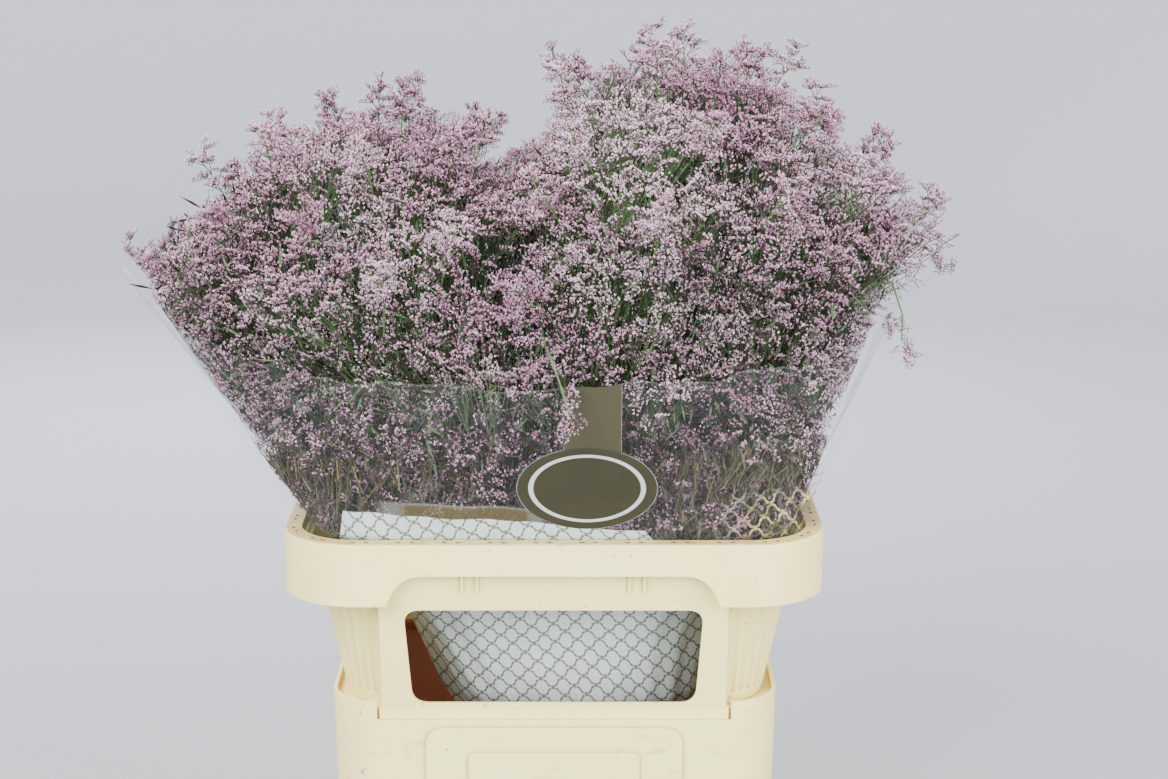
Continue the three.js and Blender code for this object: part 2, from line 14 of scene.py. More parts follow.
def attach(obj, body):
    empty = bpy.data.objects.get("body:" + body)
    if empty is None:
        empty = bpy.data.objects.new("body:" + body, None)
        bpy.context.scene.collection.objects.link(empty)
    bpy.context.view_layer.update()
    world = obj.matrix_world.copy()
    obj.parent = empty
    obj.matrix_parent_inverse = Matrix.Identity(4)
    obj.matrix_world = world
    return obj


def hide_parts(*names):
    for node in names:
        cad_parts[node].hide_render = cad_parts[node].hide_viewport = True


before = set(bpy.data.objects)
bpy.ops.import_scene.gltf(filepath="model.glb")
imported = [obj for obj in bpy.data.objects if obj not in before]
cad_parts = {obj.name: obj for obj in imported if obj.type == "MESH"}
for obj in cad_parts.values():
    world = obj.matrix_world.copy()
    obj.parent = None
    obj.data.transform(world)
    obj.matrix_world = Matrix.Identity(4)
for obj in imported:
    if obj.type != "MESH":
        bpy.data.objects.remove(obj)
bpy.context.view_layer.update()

bl_info = {
    "name": "Statice bunch in a flower container",
    "version": (1, 0, 0),
    "blender": (4, 5, 0),
    "location": "3D View > Sidebar > Statice",
    "description": "Builds the flowering stems, the film sleeve and the container",
    "category": "Object",
}

# Shape of the sleeve, from the floor up: half width, half depth, shift in X and squareness.
LEVEL_Z = np.array([0.000, 0.216, 0.250, 0.302, 0.345, 0.383, 0.395, 0.470, 0.573, 0.700, 0.820])
LEVEL_A = np.array([0.060, 0.096, 0.112, 0.124, 0.140, 0.174, 0.1865, 0.238, 0.300, 0.312, 0.320])
LEVEL_B = np.array([0.046, 0.060, 0.080, 0.092, 0.104, 0.126, 0.1365, 0.163, 0.195, 0.212, 0.216])
LEVEL_SHIFT = np.array([0.014, 0.020, 0.017, 0.009, 0.005, 0.002, 0, -0.013, -0.029, -0.016, -0.010])
LEVEL_SQUARE = np.array([2, 2, 2.3, 2.8, 4, 6, 8, 3.2, 2.2, 2, 2])
MOUTH_FRONT, MOUTH_LEFT, MOUTH_RIGHT, MOUTH_BACK = 0.517, 0.573, 0.543, 0.700
SLEEVE_FOOT = 0.216
RIM_TOP = 0.395

# Shape of the bunch. A lobe of its outside has a middle and a half width in X, a height and a power.
DOME_FOOT, DOME_RISE, DOME_MIDDLE, DOME_WIDTH = 0.566, 0.134, -0.006, 0.322
LOBES = ((0.092, 0.085, 0.053, 4), (-0.120, 0.060, 0.010, 2), (-0.036, 0.032, -0.018, 2))
PRESSED_TO, SPREAD_ABOVE = 0.955, 3
# The height at which the bunch is widest, and the sprays of its flanks: from where to where, how far in.
OUTLINE_LEVEL, FLANK_LOW, FLANK_HIGH, FLANK_INSET = 0.640, 0.414, 0.660, 0.013
# A spray's fork lies between its stem's place and its own, and never lower than FORK_LOWEST.
STEM_SHARE, SPRAY_SHARE, FORK_LOWEST = 0.45, 0.55 * 0.93, 0.408
# How much more a step across the bunch counts than one in depth, when the nearest stem is looked for.
ACROSS = 1.5

# Container: half sizes in X; the half size in Y is always less by DEPTH_LESS.
DEPTH_LESS = 0.050
WALL = 0.003
RIM_HALF, RIM_CORNER, RIM_WIDTH = 0.200, 0.058, 0.013


# Colours

def srgb(text, alpha=1.0):
    """An sRGB hex colour as the linear values that shader sockets take."""
    parts = [int(text[i:i + 2], 16) / 255 for i in (1, 3, 5)]
    linear = [c / 12.92 if c <= 0.04045 else ((c + 0.055) / 1.055) ** 2.4 for c in parts]
    return (*linear, alpha)


# Shader nodes

class Value:
    """A number in a shader. Plain sums on it add the Math nodes that work them out."""

    def __init__(self, shader, socket):
        self.shader, self.socket = shader, socket

    def math(self, operation, *others):
        """One step of a sum, with this as the first of the numbers that go in."""
        inputs = dict(enumerate((self, *others)))
        return Value(self.shader, self.shader.add("ShaderNodeMath", inputs, operation=operation).outputs[0])

    def __add__(self, other):
        return self.math("ADD", other)

    def __sub__(self, other):
        return self.math("SUBTRACT", other)

    def __rsub__(self, other):
        return self * -1 + other

    def __mul__(self, other):
        return self.math("MULTIPLY", other)

    def __truediv__(self, other):
        return self.math("DIVIDE", other)

    def __pow__(self, power):
        return self.math("POWER", power)

    def __abs__(self):
        return self.math("ABSOLUTE")

    def most(self, other):
        """The larger of this number and another."""
        return self.math("MAXIMUM", other)

    def band(self, low, high):
        """A straight ramp from 0 at low to 1 at high, and flat beyond. It falls if low is the larger."""
        inputs = {"Value": self, "From Min": low, "From Max": high, "To Min": 0.0, "To Max": 1.0}
        return Value(self.shader, self.shader.add("ShaderNodeMapRange", inputs, clamp=True).outputs[0])


class Shader:
    """A material and short names for what its nodes give."""

    def __init__(self, name):
        self.material = bpy.data.materials.new(name)
        self.material.use_nodes = True
        self.tree = self.material.node_tree
        self.tree.nodes.clear()
        self.coordinates = self.add("ShaderNodeTexCoord")

    def add(self, kind, inputs=None, **settings):
        """Adds a node, gives it its settings, and fills or links its inputs."""
        made = self.tree.nodes.new(kind)
        for key, value in settings.items():
            setattr(made, key, value)
        for key, value in (inputs or {}).items():
            value = getattr(value, "socket", value)
            if isinstance(value, bpy.types.NodeSocket):
                self.tree.links.new(value, made.inputs[key])
            else:
                made.inputs[key].default_value = value
        return made

    def noise(self, size, detail=3.0, stretch=(1, 1, 1), offset=0.0, vector=None):
        """Noise from 0 to 1 with spots about size metres wide, or size times stretch along each axis."""
        scale = [1 / (size * part) for part in stretch]
        vector = vector or self.coordinates.outputs["Object"]
        place = {"Vector": vector, "Scale": scale, "Location": (offset,) * 3}
        mapped = self.add("ShaderNodeMapping", place).outputs[0]
        inputs = {"Vector": mapped, "Scale": 1.0, "Detail": detail}
        return Value(self, self.add("ShaderNodeTexNoise", inputs).outputs[0])

    def mix(self, share, first, second):
        """Mixes two colours, each a hex text or a socket."""
        colours = [srgb(c) if isinstance(c, str) else c for c in (first, second)]
        inputs = {0: share, 6: colours[0], 7: colours[1]}
        return self.add("ShaderNodeMix", inputs, data_type="RGBA").outputs[2]

    def attribute(self, name):
        """A value that the mesh has for each of its points."""
        return Value(self, self.add("ShaderNodeAttribute", attribute_name=name).outputs["Fac"])

    def xyz(self, vector):
        """A vector's three numbers."""
        return [Value(self, part) for part in self.add("ShaderNodeSeparateXYZ", {0: vector}).outputs]

    def place(self):
        """The x, y and z of a point on the surface, in metres."""
        return self.xyz(self.coordinates.outputs["Object"])

    def facing(self):
        """The x, y and z of the surface's normal."""
        return self.xyz(self.add("ShaderNodeNewGeometry").outputs["Normal"])

    def bump(self, height, strength, distance):
        """A normal that follows a height which only the light sees."""
        inputs = {"Height": height, "Strength": strength, "Distance": distance}
        return self.add("ShaderNodeBump", inputs).outputs[0]

    def finish(self, **inputs):
        """Ends in a Principled shader with these inputs, named with _ for a space."""
        named = {key.replace("_", " "): value for key, value in inputs.items()}
        surface = self.add("ShaderNodeBsdfPrincipled", named)
        self.add("ShaderNodeOutputMaterial", {"Surface": surface.outputs[0]})
        return self.material


# Meshes from whole arrays

def make_piece(name, points, groups, materials, smooth=False, uv=None, attributes=None):
    """An object from an array of points and groups of faces: (corner numbers, material number) pairs.

    uv has one row for each corner of each face, and each attribute one value for each point.
    """
    mesh = bpy.data.meshes.new(name)
    sizes = np.concatenate([np.full(len(faces), faces.shape[1]) for faces, _ in groups])
    loops = np.concatenate([faces.ravel() for faces, _ in groups])
    slots = np.concatenate([np.full(len(faces), slot) for faces, slot in groups])
    mesh.vertices.add(len(points))
    mesh.vertices.foreach_set("co", np.ascontiguousarray(points, dtype=np.float32).ravel())
    mesh.loops.add(len(loops))
    mesh.loops.foreach_set("vertex_index", loops.astype(np.int32))
    mesh.polygons.add(len(sizes))
    mesh.polygons.foreach_set("loop_start", np.concatenate([[0], np.cumsum(sizes)[:-1]]).astype(np.int32))
    mesh.polygons.foreach_set("material_index", slots.astype(np.int32))
    mesh.polygons.foreach_set("use_smooth", np.full(len(sizes), smooth))
    if uv is not None:
        mesh.uv_layers.new(name="UVMap").data.foreach_set("uv", uv.astype(np.float32).ravel())
    for key, values in (attributes or {}).items():
        mesh.attributes.new(key, "FLOAT", "POINT").data.foreach_set("value", values.astype(np.float32))
    mesh.update(calc_edges=True)
    mesh.validate()
    for material in materials:
        mesh.materials.append(material)
    piece = bpy.data.objects.new(name, mesh)
    bpy.context.scene.collection.objects.link(piece)
    return piece


def unit(vectors):
    """Each vector at length 1."""
    return vectors / np.maximum(np.linalg.norm(vectors, axis=-1, keepdims=True), 1e-9)


def frame_round(axis):
    """Two unit vectors across each unit axis, at right angles to it and to each other."""
    side = unit(np.cross(axis, np.array([0.31, 0.93, 0.19])))
    return side, np.cross(axis, side)


def swing(side, up, turn):
    """Unit vectors cos(turn) side + sin(turn) up, one for each turn."""
    return np.cos(turn)[..., None] * side + np.sin(turn)[..., None] * up


class Cloud:
    """Points and faces gathered bit by bit, with a material number for each face.

    A point's tone says how pale it is, and its rise how far up its floret it lies, both from 0 to 1. On
    stems a low tone is painted shade, which darkens them.
    """

    def __init__(self):
        self.points, self.tones, self.rises, self.groups, self.count = [], [], [], [], 0

    def add(self, points, faces, slot, tones, rise=0.0):
        """Adds copies of a shape: points is copies x corners x 3, and faces is one copy's."""
        copies, corners = points.shape[:2]
        shift = self.count + corners * np.arange(copies)[:, None, None]
        self.groups.append(((faces[None] + shift).reshape(-1, faces.shape[1]), slot))
        self.points.append(points.reshape(-1, 3))
        self.tones.append(np.broadcast_to(tones, (copies, corners)).ravel())
        self.rises.append(np.broadcast_to(rise, (copies, corners)).ravel())
        self.count += copies * corners

    def press(self):
        """Draws in what would cross the film.

        No point stays further out than PRESSED_TO of the bunch's radius. Above the sleeve's mouth the
        limit grows by SPREAD_ABOVE for each metre of height.
        """
        points = np.concatenate(self.points)
        p, q = bunch_place(points)
        reach = np.maximum(np.hypot(p, q), 1e-9)
        above = np.maximum(points[:, 2] - mouth_height(np.arctan2(q, p)), 0)
        limit = PRESSED_TO + SPREAD_ABOVE * above
        over = reach > limit
        drawn = limit[over] / reach[over]
        points[over] = bunch_point(p[over] * drawn, q[over] * drawn, points[over, 2])
        self.points = [points]

    def piece(self, name, materials):
        """Makes the object."""
        attributes = {"tone": np.concatenate(self.tones), "rise": np.concatenate(self.rises)}
        return make_piece(name, np.concatenate(self.points), self.groups, materials, attributes=attributes)


def add_twigs(cloud, starts, ends, start_radius, end_radius, slot, tones, sides=3):
    """Straight prisms from starts to ends: a ring of corners round each end, joined by four-sided faces."""
    side, up = frame_round(unit(ends - starts))
    ring = swing(side[:, None], up[:, None], 2 * np.pi * np.arange(sides) / sides)
    low = starts[:, None] + ring * np.broadcast_to(start_radius, len(starts))[:, None, None]
    high = ends[:, None] + ring * np.broadcast_to(end_radius, len(starts))[:, None, None]
    i = np.arange(sides)
    j = (i + 1) % sides
    faces = np.stack([i, j, j + sides, i + sides], axis=1)
    cloud.add(np.concatenate([low, high], axis=1), faces, slot, np.asarray(tones).reshape(-1, 1))


# Shape of the bunch and its sleeve

def sleeve_at(z):
    """Half width, half depth, shift and squareness of the sleeve at heights z, straight between levels."""
    return [np.interp(z, LEVEL_Z, level) for level in (LEVEL_A, LEVEL_B, LEVEL_SHIFT, LEVEL_SQUARE)]


def sleeve_point(turn, z, inset=0.0):
    """A point on a rounded box at height z: x and y are powers of the turn's cosine and sine.

    Turn 0 is the right seam.
    """
    a, b, shift, square = sleeve_at(z)
    c, s = np.cos(turn), np.sin(turn)
    x = np.sign(c) * np.abs(c) ** (2 / square) * (a - inset)
    y = np.sign(s) * np.abs(s) ** (2 / square) * (b - inset)
    return np.stack(np.broadcast_arrays(shift + x, y, z), axis=-1)


def smooth_step(value, low, high):
    """From 0 at low to 1 at high along 3 t^2 - 2 t^3."""
    t = np.clip((value - low) / (high - low), 0, 1)
    return t * t * (3 - 2 * t)


def mouth_height(turn):
    """The sleeve's upper edge: lowest in front, higher at the seams and highest at the back."""
    s = np.sin(turn)
    seam = MOUTH_LEFT + (MOUTH_RIGHT - MOUTH_LEFT) * (1 + np.cos(turn)) / 2
    front = seam + (MOUTH_FRONT - seam) * np.abs(s) ** 1.3
    back = seam + (MOUTH_BACK - seam) * smooth_step(s, 0, 0.85)
    return np.where(s < 0, front, back)


def squarer(p, q, square):
    """How far the rounded box reaches in a direction, as a share of the oval that it is drawn round."""
    reach = np.maximum(np.hypot(p, q), 1e-9)
    return (np.abs(p / reach) ** square + np.abs(q / reach) ** square) ** (-1 / square)


def bunch_point(p, q, z):
    """A point from the bunch's own space, where p and q lie in a unit circle at each height."""
    a, b, shift, square = sleeve_at(z)
    k = squarer(p, q, square)
    return np.stack(np.broadcast_arrays(shift + p * k * a, q * k * b, z), axis=-1)


def bunch_place(points):
    """Where points lie in the bunch's own space: the reverse of bunch_point."""
    a, b, shift, square = sleeve_at(points[..., 2])
    u, v = (points[..., 0] - shift) / a, points[..., 1] / b
    k = squarer(u, v, square)
    return u / k, v / k


def canopy(x, y):
    """Height of the bunch's outside over a point: a dome that falls to the front and back, with soft lobes.

    A lobe adds its height times exp(-((x - middle) / width) ^ power).
    """
    height = DOME_FOOT + DOME_RISE * (1 - ((x - DOME_MIDDLE) / DOME_WIDTH) ** 6)
    for middle, width, rise, power in LOBES:
        height = height + rise * np.exp(-(((x - middle) / width) ** power))
    fall = np.where(y < 0, 0.125 * (np.abs(y) / 0.200) ** 2.2, 0.060 * (np.abs(y) / 0.210) ** 2.2)
    return height - fall


def canopy_normal(x, y):
    """Which way the bunch's outside looks, a little more upright than it is."""
    step = 0.005
    slope_x = canopy(x - step, y) - canopy(x + step, y)
    slope_y = canopy(x, y - step) - canopy(x, y + step)
    return unit(np.stack([slope_x, slope_y, np.full_like(slope_x, 2.6 * step)], axis=-1))


# Statice: sprays of short combs, each a row of florets

PETAL, CALYX, STEM, DRY = range(4)
PETAL_EDGES = ((-0.50, 0.42, 1.55), (0.62, 0.60, 1.95))
SUNFLOWER_TURN, KNEE_REACH = 2.4, 0.42
STALK_LEVELS = np.array([0.0043, 0.216, 0.250, 0.302, 0.345, 0.383, 0.395, 0.430, 0.470, 0.520])


def add_florets(cloud, rng, foot, axis, size, tones):
    """A floret on each foot: three slim petals that open like a funnel, each a triangle from the foot.

    PETAL_EDGES gives for both corners of a petal the turn, how far out and how far up it lies, in sizes.
    The attribute rise goes from 0 at the foot to 1.
    """
    side, up = frame_round(axis)
    spin = rng.uniform(0, 2 * np.pi, len(foot))
    points = [foot]
    for petal in range(3):
        for spread, out, high in PETAL_EDGES:
            across = swing(side, up, spin + 2 * np.pi * petal / 3 + spread)
            points.append(foot + size[:, None] * (out * across + high * axis))
    faces = np.array([[0, 1, 2], [0, 3, 4], [0, 5, 6]])
    rise = np.array([0, 1, 1, 1, 1, 1, 1])
    cloud.add(np.stack(points, axis=1), faces, PETAL, tones[:, None], rise=rise)


def add_combs(cloud, rng, root, along, normal, length, florets, size, tones):
    """A comb on each root: a short twig that bends outwards, with florets in two rows on its upper side.

    A point at share t of the comb lies at root + along * length * t, less a quarter of the length
    times t squared along the normal.
    """
    share = (np.arange(florets) + 0.6) / florets
    drop = 0.25 * length[:, None, None] * (share**2)[None, :, None] * normal[:, None]
    spine = root[:, None] + along[:, None] * length[:, None, None] * share[None, :, None] - drop
    add_twigs(cloud, root, spine[:, -1], 0.00036, 0.00022, CALYX, tones)
    sign = np.where(np.arange(florets) % 2, 1, -1)[None, :, None]
    across = unit(np.cross(along, normal))[:, None] * sign
    scatter = 0.35 * rng.normal(size=spine.shape)
    axis = unit(normal[:, None] + 0.40 * across + 0.20 * along[:, None] + scatter)
    spine = spine + 0.0022 * across * rng.uniform(0.2, 1, spine.shape[:2])[..., None]
    each = size * rng.uniform(0.85, 1.15, spine.shape[:2]).ravel()
    tone = np.clip(tones[:, None] + 0.20 * rng.normal(size=spine.shape[:2]), 0, 1).ravel()
    add_florets(cloud, rng, spine.reshape(-1, 3), axis.reshape(-1, 3), each, tone)


def add_sprays(cloud, rng, sites, settings):
    """A spray on each site: from its fork, twigs part twice and end in combs spread over a low dome.

    The combs' roots lie on a sunflower spiral: turn 2.4 k and reach root(k / count) for the k-th comb.
    """
    count = settings.combs
    keys = ("centre", "normal", "fork", "radius", "tone")
    centre, normal, fork, radius, tone = (sites[key] for key in keys)
    side, up = frame_round(normal)
    k = np.arange(count)
    start = rng.uniform(0, 6.28, (len(centre), 1))
    turn = SUNFLOWER_TURN * k[None] + start + rng.normal(0, 0.25, (len(centre), count))
    reach = np.sqrt((k[None] + 0.5) / count) * radius[:, None] * rng.uniform(0.8, 1.12, turn.shape)
    out = swing(side[:, None], up[:, None], turn)
    sink = 0.35 * reach**2 / radius[:, None] + settings.depth * rng.uniform(0, 1, turn.shape) ** 2.0
    root = centre[:, None] + out * reach[..., None] - normal[:, None] * sink[..., None]
    middle = fork + 0.5 * (centre - fork)
    lean = (np.floor((turn % (2 * np.pi)) / (np.pi / 2)) + 0.5) * np.pi / 2
    knee = middle[:, None] + swing(side[:, None], up[:, None], lean) * KNEE_REACH * radius[:, None, None]
    share = (reach / radius[:, None])[..., None]
    along = unit(0.65 * out * share + 0.60 * normal[:, None] + 0.55 * rng.normal(size=out.shape))
    length = settings.comb_length * rng.uniform(0.75, 1.25, turn.shape)
    scatter = 0.2 * rng.normal(size=out.shape)
    upright = unit(normal[:, None] + 0.30 * out + np.array([0, 0, 0.80]) + scatter)
    elbow = 0.45 * knee + 0.55 * root + 0.15 * (centre - fork)[:, None] * (0.5 - share)
    knee, elbow, root = (points.reshape(-1, 3) for points in (knee, elbow, root))
    tones = np.clip(tone[:, None] + 0.09 * rng.normal(size=turn.shape), 0, 1).ravel()
    # Painted shade: the twigs inside a spray get a lower tone than its florets, which the stem material
    # turns darker.
    add_twigs(cloud, knee, elbow, 0.00038, 0.00034, STEM, 0.45 * tones)
    add_twigs(cloud, elbow, root, 0.00034, 0.00030, STEM, 0.45 * tones)
    # Painted shade: the twigs from the fork get half the spray's tone.
    for quarter in range(4):
        lean = np.full(len(fork), (quarter + 0.5) * np.pi / 2)
        tip = middle + swing(side, up, lean) * KNEE_REACH * radius[:, None]
        add_twigs(cloud, fork, tip, 0.00070, 0.00045, STEM, 0.5 * tone)
    add_combs(cloud, rng, root, along.reshape(-1, 3), upright.reshape(-1, 3), length.ravel(),
              settings.florets, settings.floret_size, tones)


def spread_out(points, least):
    """Numbers of the points that are kept so that no two are closer than least: first come, first kept."""
    kept = []
    for i in range(len(points)):
        if not kept or np.min(np.sum((points[kept] - points[i]) ** 2, axis=1)) > least**2:
            kept.append(i)
    return np.array(kept)


def canopy_sites(rng, settings, trials=9000):
    """Places under the bunch's outside, and which way it looks there."""
    p, q = rng.uniform(-1, 1, (2, trials))
    inside = np.hypot(p, q) < 0.985
    flat = bunch_point(p[inside], q[inside], OUTLINE_LEVEL)
    x, y = flat[:, 0], flat[:, 1]
    sink = settings.sink + 0.032 * smooth_step(-x, 0.19, 0.29)
    centre = np.stack([x, y, canopy(x, y) - sink], axis=1)
    return centre, canopy_normal(x, y)


def flank_sites(rng, settings, trials=9000):
    """Places inside the film, and above its edge on the bunch's sides."""
    turn = rng.uniform(0, 2 * np.pi, trials)
    z = rng.uniform(FLANK_LOW, FLANK_HIGH, trials)
    centre = sleeve_point(turn, z, FLANK_INSET)
    along = sleeve_point(turn + 0.05, z, FLANK_INSET) - sleeve_point(turn - 0.05, z, FLANK_INSET)
    normal = unit(np.cross(along, sleeve_point(turn, z + 0.02, FLANK_INSET) - centre))
    below = z < canopy(centre[:, 0], centre[:, 1]) - settings.sink - 0.010
    return centre[below], normal[below]


def tone_at(rng, centre):
    """From 0, deep mauve, to 1, nearly white: soft patches, a paler patch right of the middle, and painted
    shade that darkens the sprays low in the sleeve.
    """
    x, y, z = centre.T
    waves = 0.12 * np.sin(31 * x + 9 * z) * np.cos(24 * y - 17 * z + 1)
    patches = 0.46 + waves + 0.07 * np.sin(75 * z + 20 * x)
    pale = 0.26 * np.exp(-(((x - 0.055) / 0.050) ** 2) - ((z - 0.665) / 0.040) ** 2)
    # Painted shade: sprays lower than 0.52 m are made darker, fully so below 0.42 m.
    low = -0.30 * smooth_step(0.52 - z, 0.0, 0.10)
    return np.clip(patches + pale + low + 0.08 * rng.normal(size=len(x)), 0.03, 0.97)


def stem_homes():
    """Where each CAD stem's foot stands in the bunch's own space."""
    homes = {}
    for name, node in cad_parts.items():
        if name.startswith("statice_stem"):
            points = np.empty((len(node.data.vertices), 3), dtype=np.float32)
            node.data.vertices.foreach_get("co", points.ravel())
            points = points.astype(float)
            foot = points[points[:, 2] < points[:, 2].min() + 0.001].mean(axis=0)
            homes[name] = np.array(bunch_place(foot))
    return homes


def nearest_stem(points, homes):
    """The number of the stem whose place in the bunch is nearest to each point."""
    p, q = bunch_place(points)
    places = np.array(list(homes.values()))
    return np.argmin(np.hypot((p[:, None] - places[:, 0]) * ACROSS, q[:, None] - places[:, 1]), axis=1)


def bunch_sites(rng, settings, homes):
    """All sprays of the bunch, with the stem that each belongs to and the fork that it grows from."""
    top, top_normal = canopy_sites(rng, settings)
    side, side_normal = flank_sites(rng, settings)
    centre, normal = np.concatenate([top, side]), np.concatenate([top_normal, side_normal])
    order = rng.permutation(len(centre))
    centre, normal = centre[order], normal[order]
    kept = spread_out(centre, settings.spacing)
    centre, normal = centre[kept], unit(0.65 * normal[kept] + np.array([0, 0, 0.50]))
    centre = centre - normal * rng.uniform(0, settings.tiers, len(centre))[:, None]
    p, q = bunch_place(centre)
    own = nearest_stem(centre, homes)
    home = np.array(list(homes.values()))[own]
    low = np.maximum(FORK_LOWEST, centre[:, 2] - rng.uniform(0.075, 0.105, len(centre)))
    fork_p, fork_q = home.T * STEM_SHARE + np.array([p, q]) * SPRAY_SHARE
    fork = bunch_point(fork_p, fork_q, low)
    radius = settings.spray_radius * rng.uniform(0.8, 1.15, len(centre))
    tone = tone_at(rng, centre)
    return {"centre": centre, "normal": normal, "fork": fork, "radius": radius, "own": own, "tone": tone}


def add_stem(cloud, home, sites):
    """The stalk from the bucket's floor up, and its side branches to each fork."""
    stalk = bunch_point(home[0], home[1], STALK_LEVELS)
    thick = np.linspace(0.0022, 0.0014, len(stalk))
    # Painted shade: the stalk gets a low tone, which the stem material turns darker.
    tones = np.full(len(stalk) - 1, 0.3)
    add_twigs(cloud, stalk[:-1], stalk[1:], thick[:-1], thick[1:], STEM, tones, sides=7)
    fork = sites["fork"]
    p, q = bunch_place(fork)
    leave = np.clip(fork[:, 2] - 0.14 - 0.25 * np.hypot(p - home[0], q - home[1]), 0.30, 0.52)

    def on_branch(share):
        """Points at a share of the way from the stalk to the forks."""
        ease = share**1.4
        return bunch_point(home[0] + (p - home[0]) * ease, home[1] + (q - home[1]) * ease,
                           leave + (fork[:, 2] - leave) * share)

    steps = np.linspace(0, 1, 4)
    for before, after in zip(steps[:-1], steps[1:]):
        wide = 0.0012 - 0.0004 * before
        add_twigs(cloud, on_branch(before), on_branch(after), wide, wide - 0.00013, STEM, sites["tone"])


def add_blades(cloud, foot, middle, tip, wide, slot, tones):
    """Four-sided blades from foot to tip, as wide as wide on both sides of the middle points."""
    blade = np.stack([foot, middle + wide, tip, middle - wide], axis=1)
    cloud.add(blade, np.array([[0, 1, 2, 3]]), slot, tones[:, None])


def add_undergrowth(cloud, rng, homes, own, settings):
    """Bracts, spent calyces and broken twigs between the branches: narrow blades all through the bunch,
    given low tones so that they come out dark as painted shade.
    """
    count = settings.undergrowth
    turn = rng.uniform(0, 2 * np.pi, count)
    reach = np.sqrt(rng.uniform(0, 0.93, count))
    p, q = reach * np.cos(turn), reach * np.sin(turn)
    over = bunch_point(p, q, OUTLINE_LEVEL)
    high = canopy(over[:, 0], over[:, 1]) - settings.sink - 0.024
    foot = bunch_point(p, q, 0.365 + (high - 0.365) * rng.uniform(0, 1, count))
    foot = foot[nearest_stem(foot, homes) == own]
    along = unit(rng.normal(size=foot.shape) + np.array([0, 0, 0.9]))
    side = unit(np.cross(along, rng.normal(size=foot.shape)))
    long = along * rng.uniform(0.010, 0.024, len(foot))[:, None]
    wide = side * rng.uniform(0.0005, 0.0012, len(foot))[:, None]
    # Painted shade: low tones keep the blades dark deep in the bunch.
    tones = rng.uniform(0, 0.35, len(foot))
    middle, tip, across = foot + 0.475 * long, foot + long, wide + 0.025 * long
    half = len(foot) // 2
    for part, slot in ((slice(0, half), STEM), (slice(half, None), CALYX)):
        add_blades(cloud, foot[part], middle[part], tip[part], across[part], slot, tones[part])


def add_dry_leaves(cloud, rng, homes, own, settings):
    """Narrow dry leaves and bare twigs just inside the clear film above the rim."""
    trials = 6 * settings.dry_leaves
    turn = rng.uniform(0, 2 * np.pi, trials)
    z = rng.uniform(0.380, 0.445, trials)
    foot = sleeve_point(turn, z, rng.uniform(0.010, 0.040, trials))
    foot = foot[nearest_stem(foot, homes) == own]
    outward = unit(foot * np.array([1, 1, 0]))
    scatter = 0.5 * rng.normal(size=foot.shape) * np.array([1, 1, 0.4])
    along = unit(np.array([0, 0, 1]) + scatter + 0.15 * outward)
    side = unit(np.cross(along, outward))
    long = rng.uniform(0.010, 0.026, len(foot))[:, None]
    wide = side * rng.uniform(0.0006, 0.0015, len(foot))[:, None]
    tip = foot + along * long - outward * 0.12 * long
    belly = foot + along * long * 0.55 - outward * 0.004
    add_blades(cloud, foot, belly, tip, wide, DRY, rng.uniform(0, 1, len(foot)))
    start = foot - along * long * 0.4
    add_twigs(cloud, start, start + along * long * 1.5, 0.0007, 0.0005, DRY, rng.uniform(0, 1, len(foot)))


# Materials of the plant

def petal_material():
    """Papery statice florets: maroon at the foot, lilac pink at the rim, paler where the tone is high."""
    shader = Shader("papery_statice_petals")
    spots = shader.noise(0.0016, 2.0) * 0.30 - 0.15
    wide = shader.noise(0.045, 2.0, offset=0.3) * 0.30 - 0.15
    level = shader.attribute("tone") + spots + wide
    deep = shader.mix(level.band(0.0, 0.45), "#A86C8A", "#D6A8BE")
    pale = shader.mix(level.band(0.40, 0.85), deep, "#F8E4EA")
    foot = shader.mix(level, "#280E18", "#44262E")
    colour = shader.mix(shader.attribute("rise").band(0.40, 0.90), foot, pale)
    return shader.finish(Base_Color=colour, Roughness=0.75, Specular_IOR_Level=0.25, Sheen_Weight=0.15)


def calyx_material():
    """Dry bracts and spent calyces: maroon brown, greyer in paler sprays."""
    shader = Shader("dry_ribbed_calyx")
    ribs = shader.noise(0.0008, 2.0, (1, 1, 4))
    colour = shader.mix(shader.attribute("tone").band(0.15, 0.9), "#28141C", "#4E363C")
    colour = shader.mix(ribs * 0.6, colour, "#2A241A")
    return shader.finish(Base_Color=colour, Roughness=0.8, Specular_IOR_Level=0.2)


def stem_material():
    """Thin grey-green stems, browner low down in the bunch, and darkened towards near black by painted
    shade where their tone is low.
    """
    shader = Shader("wiry_green_stems")
    height = shader.place()[2]
    green = shader.mix(shader.noise(0.020, 3.0), "#2F4A26", "#66854C")
    dull = shader.mix(shader.noise(0.012, 3.0, offset=0.5), "#383619", "#5A532C")
    colour = shader.mix(height.band(0.50, 0.41), green, dull)
    # Painted shade: a low tone darkens stems and twigs towards near black.
    colour = shader.mix(shader.attribute("tone").band(0.45, 0.05), colour, "#1A2414")
    grain = shader.bump(shader.noise(0.0008, 2.0, (1, 1, 8)), 0.4, 0.0003)
    return shader.finish(Base_Color=colour, Roughness=0.6, Normal=grain)


def dry_material():
    """Dry leaves and bare twigs: khaki to brown."""
    shader = Shader("dry_khaki_leaves")
    tone = shader.attribute("tone")
    colour = shader.mix(tone.band(0.0, 0.5), "#2A2416", "#443F24")
    colour = shader.mix(tone.band(0.75, 1.0), colour, "#6C643C")
    return shader.finish(Base_Color=colour, Roughness=0.85)


# Hanging sprigs and the tall sprays of the bunch's outline

TRAILS = (
    (((-0.008, -0.135, 0.552), (-0.004, -0.186, 0.548), (0.006, -0.192, 0.522), (0.012, -0.191, 0.500)),
     (0.1, -0.5, -0.85)),
    (((0.170, -0.044, 0.562), (0.250, -0.064, 0.572), (0.258, -0.066, 0.548), (0.258, -0.067, 0.528)),
     (0.4, -0.3, -0.85)),
    (((0.190, 0.014, 0.575), (0.262, 0.002, 0.596), (0.280, 0.000, 0.592), (0.291, -0.001, 0.578)),
     (0.75, 0, -0.66)),
)


